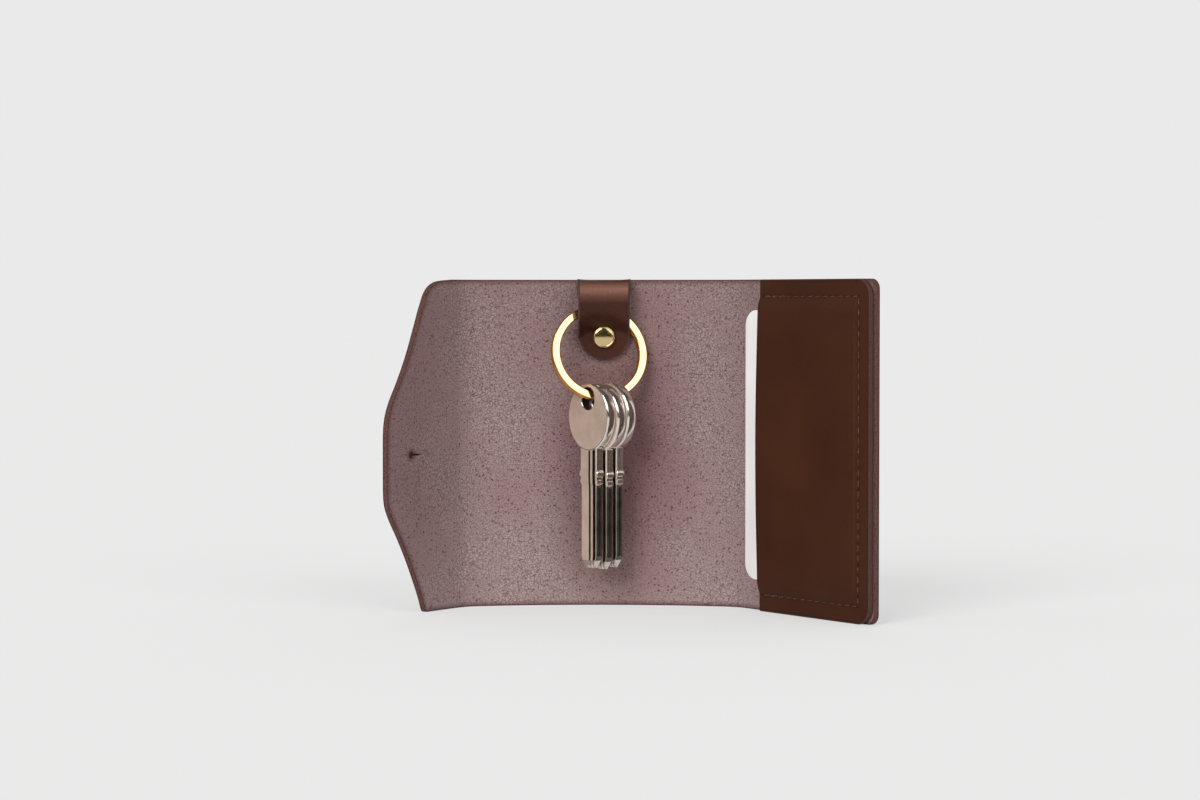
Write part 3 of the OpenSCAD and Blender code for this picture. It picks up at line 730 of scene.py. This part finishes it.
def plate(name, outline, half_t, bevel, place, material):
    """A flat plate from an outline: rings that step in by the bevel at both faces, and each
    face closed by one polygon. place turns (x, z, depth) into points."""
    along = np.roll(outline, -1, axis=0) - np.roll(outline, 1, axis=0)
    inward = unit_rows(along[:, ::-1] * [-1, 1])
    half = [(1.0, half_t), (0.3, half_t - 0.3 * bevel), (0.0, half_t - bevel)]
    profile = [(share, -depth) for share, depth in half] + half[::-1]
    points = np.concatenate([
        place(*(outline + inward * bevel * share).T, np.full(len(outline), depth))
        for share, depth in profile])
    number = np.arange(len(points)).reshape(len(profile), -1)
    return put_in_mesh(name, points, tube_faces(number), [material], sharp_from=30)


CARD_BEVEL = 0.08
card_outline = round_outline((CARD_NEAR, CARD_FOOT), (CARD_FAR, CARD_TOP), CARD_CORNER_R, 10)
card = plate("white_card", card_outline, CARD_T / 2, CARD_BEVEL,
             lambda s, z, t: on_body(s, z, t + CARD_DEPTH), satin_card())
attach(card, "card")
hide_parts("blank_card")


# Ring tab: a tongue of the same hide that rises from the top edge, folds forward round the ring
# and is riveted back to the body. The tight bend flares its two corners a little.
TAB_MIDDLE = 2.8
TAB_W = 16.5
TAB_T = 2.0
TAB_DROP = 25.8
LOOP_REACH = 8.6
LOOP_SLANT_SHARE = 0.36
LOOP_RISE = 5.0
LOOP_LEG = 5.0
PINCH_DROP = 6.6
PINCH_H = 7.4
TEAR_H = 8.0
TAB_BEVEL = 0.6
PINCH_DIP = 2.6
PINCH_SHARE = 0.8
FIT_GAP = 0.05
TAB_FLARE = 0.45
TAB_Q_MM = 12.0
tab_foot_z = CASE_H - LOOP_RISE
tab_end_z = CASE_H - TAB_DROP
leg_z = tab_foot_z - LOOP_LEG


def smooth(x):
    """0 up to x = 0 and 1 from x = 1 on, with a smooth rise between."""
    x = np.clip(x, 0.0, 1.0)
    return x * x * (3 - 2 * x)


def tab_line(q, v):
    """Middle of the tab's leather: half an oval from the notch over to the front, for q from 0
    to 1, then down the front leg for q from 1 to 3, where the pinch draws it back to the body.
    v runs from -1 to 1 across the tab, and the loop reaches further forward on the left."""
    z_leg = tab_foot_z - (tab_foot_z - tab_end_z) * np.sin(np.clip(q - 1, 0, 2) * math.pi / 4)

    def leg(z):
        pinch = (PINCH_SHARE * smooth((z - leg_z + PINCH_DROP + PINCH_DIP * v * v) / PINCH_H)
                 + (1 - PINCH_SHARE) * smooth((z - tab_foot_z + TEAR_H) / TEAR_H))
        return (-TAB_T / 2 - FIT_GAP
                - (LOOP_REACH - TAB_T / 2) * pinch * (1 - LOOP_SLANT_SHARE * v))

    full = -leg(tab_foot_z + 0 * v) + LEATHER_T / 2
    over = np.clip(q, 0, 1) * math.pi
    y_over = LEATHER_T / 2 - full * (1 - np.cos(over)) / 2
    z_over = tab_foot_z + (LOOP_RISE - TAB_T / 2) * np.sin(over)
    return np.where(q < 1, y_over, leg(z_leg)), np.where(q < 1, z_over, z_leg)


def tab_place(a, q, t):
    """Points of the tab from the distance a across it, the place q along it and the depth t."""
    v = np.clip(a / (TAB_W / 2), -1, 1)
    small = 0.004
    y0, z0 = tab_line(np.maximum(q - small, 0), v)
    y1, z1 = tab_line(np.minimum(q + small, 3), v)
    y, z = tab_line(q, v)
    length = np.maximum(np.hypot(y1 - y0, z1 - z0), 1e-9)
    y = y + t * (z1 - z0) / length
    z = z - t * (y1 - y0) / length
    flare = np.exp(-((q - 0.45) / 0.3) ** 2) * TAB_FLARE * np.abs(v) ** 6
    x = TAB_MIDDLE + a + np.sign(a) * flare
    bow = np.sqrt(BOW_R ** 2 - x ** 2) - BOW_R
    return np.stack([x, y + bow, z + 0.7 * flare], axis=-1) + DEEPEST


def tab_half_width(z):
    """Half the tab's width at height z of the front leg, round at the end."""
    r = TAB_W / 2 - TAB_BEVEL
    below = np.maximum(0.0, tab_end_z + TAB_W / 2 - z)
    return np.sqrt(np.maximum(0.02, r * r - below ** 2))


leg_h = tab_foot_z - tab_end_z
last_q = 1 + math.asin((leg_h - TAB_BEVEL) / leg_h) * 4 / math.pi
tab_q = np.concatenate([np.linspace(0, 1, 34)[:-1], 1 + (last_q - 1) * np.sin(
    np.linspace(0, math.pi / 2, 56)) ** 0.9])
tab_v = np.concatenate([[-1, -0.97, -0.92], np.linspace(-0.85, 0.85, 21), [0.92, 0.97, 1]])
_, tab_z = tab_line(tab_q, 0 * tab_q)
tab_half = np.where(tab_q < 1, TAB_W / 2 - TAB_BEVEL, tab_half_width(tab_z))
tab_a = tab_v[:, None] * tab_half
tab_b = np.repeat(tab_q[None, :], len(tab_v), axis=0)


def tab_from_flat(a, b, t):
    """The sheet's flat places are in millimetres, with TAB_Q_MM of length to each step of q."""
    return tab_place(a, np.clip(b / TAB_Q_MM, 0, last_q + 0.03), t)


# The tab's grain is painted darker than the body's, though it is the same hide: painted shade. Its
# bend gets a painted highlight.
tab_grain_shade_and_highlight = grain_side("tab_grain_leather_painted_shade_and_highlight", "#311710", "#3C1E16", 0.36, 0.4,
                       bend=(0.6 * TAB_Q_MM, 0.86 * TAB_Q_MM, 1.14 * TAB_Q_MM))
# The tab's cut edge is painted paler than the body's: a painted highlight on the bevel that faces
# the main light.
tab = leather_sheet("ring_tab_leather", tab_a, tab_b * TAB_Q_MM, 0 * tab_a - TAB_T / 2,
                    0 * tab_a + TAB_T / 2, tab_from_flat,
                    [flesh, tab_grain_shade_and_highlight, cut_edge("tab_cut_edge_painted_highlight", "#8C6C64", "#654840")],
                    bevel=TAB_BEVEL)
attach(tab, "middle")
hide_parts("ring_tab")


# Rivet: a pressed brass cap with a rolled rim on the tab, and a post through tab and body that
# ends in a flat cap behind.
def polished_brass(name, tint, rough):
    """Polished brass, lacquered, in the tint given, with fine swirls from the buffing wheel that
    spread the lights a little."""
    material, tree, shader = new_material(name, Metallic=1.0, Base_Color=colour(tint))
    swirls = noise(node(tree, "TexCoord").outputs["Object"], 1.1 / MM, 3.0, 0.6)
    link_surface(shader, rough=ranged(swirls, 0.35, 0.65, rough * 0.7, rough * 1.3),
                 height=swirls, strength=0.06, depth=0.02)
    return material


def turned(name, profile, seat, axis, material):
    """A round piece: a profile of (radius, height) pairs turned about a level axis of length 1
    through the seat. A first or last radius of 0 closes into a pole."""
    first = np.cross(axis, [0.0, 0.0, 1.0])
    angle = turns(48)
    spoke = np.outer(np.cos(angle), first) + np.outer(np.sin(angle), np.cross(axis, first))
    points, rings = [], []
    for radius, height in profile:
        around = len(angle) if radius else 1
        rings.append(np.resize(np.arange(len(points), len(points) + around), len(angle)))
        points += list(np.array(seat) + height * np.array(axis) + radius * spoke[:around])
    quads = bands(np.array(rings)[:, ::-1]).tolist()
    return put_in_mesh(name, points, [list(dict.fromkeys(quad)) for quad in quads], [material],
                       sharp_from=40)


CAP_R = 3.5
CAP_H = 1.5
CAP_SHOULDER = 1.2
CAP_RIM_W = 0.62
RIVET_Z = CASE_H - 18.4
cap_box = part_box("rivet_cap")
cap_seat = [(cap_box[0].x + cap_box[1].x) / 2 / MM, cap_box[1].y / MM, RIVET_Z]
bright_brass = polished_brass("polished_brass", "#D4BC8A", 0.13)
dome_r = CAP_R - CAP_RIM_W
cap_profile = [(0, 0), (CAP_R - 0.35, 0), (CAP_R - 0.1, 0.1), (CAP_R, 0.35), (CAP_R, 0.75),
               (CAP_R - 0.07, 1.0), (CAP_R - 0.22, 1.16), (CAP_R - 0.38, 1.19),
               (CAP_R - 0.52, 1.13), (dome_r, CAP_SHOULDER)]
cap_profile += [(r, CAP_SHOULDER + (CAP_H - CAP_SHOULDER) * (1 - (r / dome_r) ** 2))
                for r in np.linspace(CAP_R - 0.8, 0.3, 8)] + [(0, CAP_H)]
cap = turned("rivet_brass_cap", cap_profile, cap_seat, (0, -1, 0), bright_brass)
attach(cap, "middle")
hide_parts("rivet_cap")

post_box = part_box("rivet_post")
post_seat = [cap_seat[0], post_box[1].y / MM, RIVET_Z]
BACK_CAP_T = 1.2
BACK_CAP_R = 3.5
POST_R = 1.5
POST_L = 5.2
post_profile = [(0, 0), (BACK_CAP_R - 0.9, 0), (BACK_CAP_R - 0.4, 0.12), (BACK_CAP_R - 0.1, 0.4),
                (BACK_CAP_R, 0.75), (BACK_CAP_R - 0.05, 1.05), (BACK_CAP_R - 0.2, BACK_CAP_T),
                (POST_R, BACK_CAP_T), (POST_R, POST_L), (0, POST_L)]
post = turned("rivet_brass_post", post_profile, post_seat, (0, -1, 0), bright_brass)
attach(post, "middle")
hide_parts("rivet_post")


# Split ring: flat spring wire coiled twice and gold plated. Both turns lie tight on each other,
# and where one crosses over to the other the two ends stop short of it.
RING_D = 31.2
WIRE_W = 2.5
COIL_T = 1.46
COIL_GAP = 0.06
WIRE_ARRIS_R = 0.32
ring_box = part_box("split_ring")
RING_YAW = math.radians(15)
RING_LEAN = math.radians(15)
ring_side = np.array([math.cos(RING_YAW), math.sin(RING_YAW), 0.0])
ring_up = np.array([-math.sin(RING_YAW) * math.sin(RING_LEAN),
                    math.cos(RING_YAW) * math.sin(RING_LEAN), math.cos(RING_LEAN)])
ring_front = np.cross(ring_side, ring_up)
ring_middle = np.array([(ring_box[0][k] + ring_box[1][k]) / 2 / MM for k in range(3)])
CROSSING = math.radians(16)


def split_ring(materials):
    """The wire's section, a rectangle with rounded arrises and faces a hair domed, carried
    twice round. The flat faces are the first material, painted paler as a highlight, and the
    rims the second, painted deeper orange as a reflection of the dark leather.
    Its height above the ring's plane steps from one turn to the other within the
    crossing, which lies at the top, inside the tab."""
    wire_r = (RING_D - WIRE_W) / 2
    half_step = (COIL_T + COIL_GAP) / 2
    half = np.array([WIRE_W, COIL_T]) / 2
    corner = round_outline(-half, half, WIRE_ARRIS_R, 5)
    angle = np.linspace(CROSSING / 2, 4 * math.pi - CROSSING / 2, 361)
    rise = half_step * (2 * smooth((angle - 2 * math.pi + CROSSING / 2) / CROSSING) - 1)
    radial = np.outer(np.sin(angle), ring_side) + np.outer(np.cos(angle), ring_up)
    centre = ring_middle + wire_r * radial + rise[:, None] * ring_front
    points = (centre[:, None, :] + corner[None, :, :1] * radial[:, None, :]
              + corner[None, :, 1:] * ring_front)
    count, around = points.shape[:2]
    number = np.arange(count * around).reshape(count, around)
    is_flat = np.isin(np.arange(around), (around // 2 - 1, around - 1))
    slot = np.append(np.tile(np.where(is_flat, 0, 1), count - 1), (1, 1))
    return put_in_mesh("split_ring_wire", points.reshape(-1, 3), tube_faces(number[:, ::-1]),
                       materials, slot, sharp_from=35)


# One gold plating in two tints: the paler is a painted highlight on the faces, the deeper orange a
# painted reflection of the dark leather on the rims.
ring_piece = split_ring([polished_brass("gold_face_painted_highlight", "#F3D6A4", 0.17),
                         polished_brass("gold_rim_painted_reflection", "#EDB45C", 0.2)])
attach(ring_piece, "ring")
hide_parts("split_ring")


# Keys: three blanks of nickel silver, stamped from sheet and milled. Each has a round head with
# an arched hole, a neck with two grooves, a collar and a narrower blade with a bevelled tip.
KEY_T = 3.3
NECK_T = 2.8
BLADE_T = 2.4
HEAD_W = 20.0
HEAD_H = 21.8
KEY_L = 59.0
KEY_HOLE_R = 3.15
HOLE_DROP = 0.3
HOLE_SLOT_L = 1.0
HOLE_TOP_RIM = 1.4
NECK_W = 7.9
COLLAR_W = 9.0
BLADE_W = 7.4
TIP_L = 3.8
TIP_W = 4.4
NECK_L = 11.8
HEAD_BEVEL = 0.62
HOLE_BEVEL = 0.16
BEVEL_STEPS = [(1.2, 1.0), (1.0, 1.0), (0.617, 0.924), (0.293, 0.707), (0.076, 0.383), (0.0, 0.0)]
ARRIS = 0.14
GROOVE_DEPTH = 0.75
GROOVE_SLOPE = 0.12
GROOVES = [(0.0, 0.85), (1.95, 3.3)]
EDGE_GROOVE_DEPTH = 0.6
KEY_SHIFT = 0.7
head_top = KEY_HOLE_R - HOLE_DROP + HOLE_TOP_RIM
head_middle = head_top - HEAD_H / 2
neck_z = head_top - HEAD_H + 1.0
collar_z = neck_z - NECK_L
tip_z = head_top - KEY_L


def nickel_silver(name, dull, bright, rough, metallic, scratch_h):
    """Nickel silver, a warm grey metal. Sanding leaves fine scratches along the key that spread
    its lights; the more the sanding, the more the face scatters like a matt one."""
    material, tree, shader = new_material(name, Metallic=metallic)
    place = node(tree, "UVMap", uv_map="flat").outputs[0]
    scratches = noise(place, 1.6, 4.0, 0.7, stretch=(3.0, 0.3, 1.0))
    stains = noise(place, 0.15, 3.0, 0.6)
    link_surface(shader, coated(dull, (ranged(stains, 0.35, 0.65), bright)),
                 ranged(scratches, 0.3, 0.7, rough * 0.8, rough * 1.25), scratches, scratch_h, 0.03)
    return material


def head_part():
    """The head as points (x, z, depth), faces and their slots: a rim round the outside and one
    round the arched hole, each rounded to both faces in BEVEL_STEPS of (step in, step down),
    and joined on each face by a band of quads. The wall of the hole is dark: tarnish, with
    painted shade."""
    angle = turns(96)
    circle = np.stack([np.cos(angle), np.sin(angle)], axis=-1)
    outward = circle * [HEAD_W / 2, HEAD_H / 2]
    arch = HOLE_DROP + HOLE_SLOT_L * (circle[:, 1:] < 0)
    hole = circle * KEY_HOLE_R - arch * [0, 1]
    hole_outward = unit_rows(hole + [0, HOLE_DROP + HOLE_SLOT_L / 2])
    rims = [(outward + [0, head_middle], -unit_rows(outward), HEAD_BEVEL, -1),
            (hole, hole_outward, HOLE_BEVEL, 1)]
    rings = []
    for outline, way, bevel, side in rims:
        for face, order in ((side, 1), (-side, -1)):
            for share, down in BEVEL_STEPS[::order]:
                depth = face * (KEY_T / 2 - bevel * (1 - down))
                rings.append(np.insert(outline + way * bevel * share, 2, depth, axis=1))
    number = np.arange(len(rings) * len(angle)).reshape(len(rings), -1)
    half = len(rings) // 2
    slots = [0 if k % half in (0, half - 2, half - 1) else 2 if k == 3 * half // 2 - 1 else 1
             for k in range(len(rings))]
    return (np.concatenate(rings), bands(np.vstack([number, number[:1]])).tolist(),
            np.repeat(slots, len(angle)).tolist())


def shank_part():
    """Neck, collar and blade as one loft: a section with two grooves a face and one in the
    right edge, whose width, thickness and groove depths change from row to row. Each corner of
    the section is a half width and a half thickness to count from, with a distance from each;
    the back of it is the front turned half round."""
    collar = [(4.7, NECK_W, NECK_T), (4.3, NECK_W + 0.6, NECK_T + 0.1),
              (3.6, COLLAR_W, NECK_T + 0.1), (2.9, COLLAR_W, NECK_T + 0.1),
              (2.6, NECK_W - 0.2, NECK_T), (1.8, NECK_W - 0.2, NECK_T),
              (1.5, NECK_W + 0.4, NECK_T), (0.6, NECK_W + 0.4, NECK_T), (0.0, BLADE_W, BLADE_T)]
    rows = [(neck_z + 3.2, NECK_W, NECK_T, 0.0, 0.0), (neck_z - 0.8, NECK_W, NECK_T, 0.0, 0.0),
            (neck_z - 1.3, NECK_W, NECK_T, 1.0, 0.0)]
    rows += [(collar_z + up, width, thick, 1.0, 0.0) for up, width, thick in collar]
    rows += [(collar_z - 0.5, BLADE_W, BLADE_T, 1.0, 0.2),
             (collar_z - 1.0, BLADE_W, BLADE_T, 1.0, 1.0),
             (tip_z + TIP_L + 0.2, BLADE_W, BLADE_T, 1.0, 1.0),
             (tip_z + TIP_L, BLADE_W, BLADE_T, 1.0, 0.3),
             (tip_z + 2.4, BLADE_W - 0.9, BLADE_T, 1.0, 0.0), (tip_z, TIP_W, 0.9, 0.2, 0.0)]
    front = [(-1, ARRIS, -1, 0)]
    for low, high in GROOVES:
        front += [(0, low, -1, 0), (0, low + GROOVE_SLOPE, -1, GROOVE_DEPTH),
                  (0, high - GROOVE_SLOPE, -1, GROOVE_DEPTH), (0, high, -1, 0)]
    front.append((1, -ARRIS, -1, 0))
    edge = [(1, 0, -1, ARRIS), (1, 0, 0, -0.5), (1, -EDGE_GROOVE_DEPTH, 0, -0.38),
            (1, -EDGE_GROOVE_DEPTH, 0, 0.38), (1, 0, 0, 0.5), (1, 0, 1, -ARRIS)]
    back = [tuple(-value for value in corner) for corner in front]
    section = (front + edge + back + [(-1, 0, 1, -ARRIS), (-1, 0, -1, ARRIS)])[::-1]
    points = []
    for z, width, thick, groove_share, edge_share in rows:
        squeeze = width / BLADE_W if z < tip_z + TIP_L else 1.0
        for x_edge, x_off, y_edge, y_off in section:
            x_share = squeeze if x_edge == 0 else edge_share if y_edge == 0 else 1.0
            y_share = groove_share if abs(y_off) == GROOVE_DEPTH else 1.0
            points.append((x_edge * width / 2 + x_off * x_share, z,
                           y_edge * thick / 2 + y_off * y_share))
    sides = list(zip(section, section[1:] + section[:1]))
    on_edge = np.array([here[0] == there[0] != 0 for here, there in sides])
    in_groove = np.array([GROOVE_DEPTH in (abs(here[3]), abs(there[3])) for here, there in sides])
    slot = [np.where(in_groove, 2, np.where(on_edge, 3 if row[0] <= collar_z else 1, 0))
            for row in rows[:-2]] + [np.ones(len(section), int), [0, 1]]
    number = np.arange(len(points)).reshape(len(rows), -1)
    return np.array(points), tube_faces(number), np.concatenate(slot).tolist()


def key_piece(name, joint, shift, materials):
    """One key, hung on its own place on the ring, with its face turned as its hinge says and
    shifted across by the play of its hole, because the three lie close behind each other."""
    head_points, faces, slot = head_part()
    shank_points, shank_faces, shank_slot = shank_part()
    local = np.concatenate([head_points, shank_points])
    faces += [[number + len(head_points) for number in face] for face in shank_faces]
    normal = np.array(joint["axis"])
    points = (np.array(joint["pos_m"]) / MM + local[:, 2:] * normal + local[:, 1:2] * [0, 0, 1]
              + (local[:, :1] + shift) * np.cross(normal, [0, 0, 1]))
    corners = np.concatenate(faces)
    flat = np.stack([local[corners, 0] + local[corners, 2], local[corners, 1]], axis=-1) + [40, 80]
    return put_in_mesh(name, points, faces, materials, slot + shank_slot, flat, sharp_from=22)


key_metals = [nickel_silver("sanded_key_face", "#D2BDAB", "#E2CFBE", 0.42, 0.6, 0.15),
              nickel_silver("polished_key_rim", "#E2DBD2", "#F4EFE9", 0.13, 0.95, 0.03),
              # The dark metal in the grooves and the head's hole is tarnish together with painted
              # shade.
              nickel_silver("groove_tarnish_and_shade", "#2B2622", "#4A433D", 0.3, 0.7, 0.1),
              nickel_silver("milled_blade_edge", "#5E5852", "#8A8278", 0.22, 0.9, 0.1)]
for number in (1, 2, 3):
    joint = joints[f"key_{number}_swing"]
    key = key_piece(f"key_{number}_blank", joint, (2 - number) * KEY_SHIFT, key_metals)
    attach(key, f"key_{number}")
    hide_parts(f"key_{number}")


# Button stud: turned brass, a flat button on a thin neck. A countersunk screw under the pocket
# leather pulls its collar down on the grain side of the panel.
STUD_R = 3.0
STUD_NECK_R = 1.3
STUD_BASE_T = 0.5
STUD_NECK_L = 2.6
STUD_HEAD_T = 1.8
STUD_S = PANEL_END - 8.6
outwards = np.array([math.sin(OPEN_TURN), math.cos(OPEN_TURN), 0.0])
stud_seat = on_body(np.array(STUD_S), FLAP_MIDDLE_Z, LEATHER_T + 0.05)
neck_end = STUD_BASE_T + STUD_NECK_L
stud_profile = [(0, 0), (STUD_R - 0.1, 0), (STUD_R, 0.1), (STUD_R, 0.35), (STUD_R - 0.15, 0.5),
                (STUD_NECK_R + 0.25, STUD_BASE_T), (STUD_NECK_R, STUD_BASE_T + 0.3),
                (STUD_NECK_R, neck_end - 0.3), (STUD_NECK_R + 0.2, neck_end),
                (STUD_R - 0.3, neck_end), (STUD_R - 0.05, neck_end + 0.2),
                (STUD_R, neck_end + 0.6), (STUD_R - 0.1, neck_end + 1.15),
                (STUD_R - 0.5, neck_end + 1.6), (STUD_R - 1.2, neck_end + 1.75),
                (0, neck_end + STUD_HEAD_T - 0.05)]
stud = turned("button_stud_brass", stud_profile, stud_seat, outwards, bright_brass)
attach(stud, "right_panel")
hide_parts("stud_head")
screw = frame["nodes"]["stud_screw"]
screw.data.materials.clear()
screw.data.materials.append(bright_brass)


# Studio: a pale floor and background, a broad light from the upper left of the camera, a
# weaker one from the right, and a long lens close to the height of the case's top edge.
PALE = "#EAEAEA"
CAMERA_PLAN_X = 1.5
CAMERA_AWAY = 913.0
CAMERA_Z = 98.8
CAMERA_PITCH = 2.04
LENS_MM = 85.0
SENSOR_MM = 36.0
CLIP_M = 0.01
FLOOR_HALF = 6000.0


def add_sun(name, towards, strength, spread):
    """A soft distant light that comes from the direction towards."""
    lamp = bpy.data.lights.new(name, "SUN")
    lamp.energy = strength
    lamp.angle = math.radians(spread)
    light = bpy.data.objects.new(name, lamp)
    light.rotation_euler = Vector(towards).to_track_quat("Z", "Y").to_euler()
    bpy.context.scene.collection.objects.link(light)


def floor_material():
    """Matt white paper. To the camera part of it glows evenly, as an overlit backdrop does, so
    that only the object's soft shadow shows on it."""
    material = bpy.data.materials.new("backdrop_paper")
    material.use_nodes = True
    tree = material.node_tree
    tree.nodes.clear()
    paper = node(tree, "BsdfDiffuse", {"Color": colour("#E6E6E6")})
    glow = node(tree, "Emission", {"Color": colour(PALE), "Strength": 1.0})
    rays = node(tree, "LightPath").outputs["Is Camera Ray"]
    mix = node(tree, "MixShader", {0: joined(rays, 0.55), 1: paper.outputs[0],
                                   2: glow.outputs[0]})
    tree.links.new(mix.outputs[0], node(tree, "OutputMaterial").inputs[0])
    return material


def add_world():
    """To the camera the pale background; to everything else a studio: pale behind the object,
    a mid grey room in front and a dark ceiling, so that metal has something to contrast with."""
    world = bpy.data.worlds.new("studio")
    world.use_nodes = True
    tree = world.node_tree
    tree.nodes.clear()
    way = node(tree, "SeparateXYZ", {0: node(tree, "TexCoord").outputs["Generated"]})
    room = coated("#9A9896", (ranged(way.outputs[1], -0.35, 0.25), "#E6E6E6"))
    gloss = coated("#35322F", (ranged(way.outputs[1], 0.0, 0.5), "#E6E6E6"),
                   (ranged(way.outputs[2], 0.3, 0.7), "#2E2C2B"))
    paths = node(tree, "LightPath").outputs
    lit = blended(paths["Is Glossy Ray"], room, gloss)
    seen = blended(paths["Is Camera Ray"], lit, colour(PALE))
    sky = node(tree, "Background", {"Color": seen, "Strength": 1.0})
    tree.links.new(sky.outputs[0], node(tree, "OutputWorld").inputs[0])
    bpy.context.scene.world = world


camera = bpy.data.objects.new("camera", bpy.data.cameras.new("camera"))
camera.data.lens = LENS_MM
camera.data.sensor_width = SENSOR_MM
camera.data.clip_start = CLIP_M
camera.location = Vector(((DEEPEST + [CAMERA_PLAN_X, -CAMERA_AWAY, CAMERA_Z]) * MM).tolist())
camera.rotation_euler = (math.radians(90 - CAMERA_PITCH), 0, 0)
bpy.context.scene.collection.objects.link(camera)
bpy.context.scene.camera = camera

floor_corners = FLOOR_HALF * np.array([[-1, -1, 0], [1, -1, 0], [1, 1, 0], [-1, 1, 0]])
floor = put_in_mesh("floor", floor_corners, [[0, 1, 2, 3]], [floor_material()])
add_world()
add_sun("left_soft_light", (-0.42, -0.76, 0.5), 2.0, 34)
add_sun("right_soft_light", (0.47, -0.74, 0.49), 1.0, 46)
bpy.context.scene.view_settings.view_transform = "Standard"
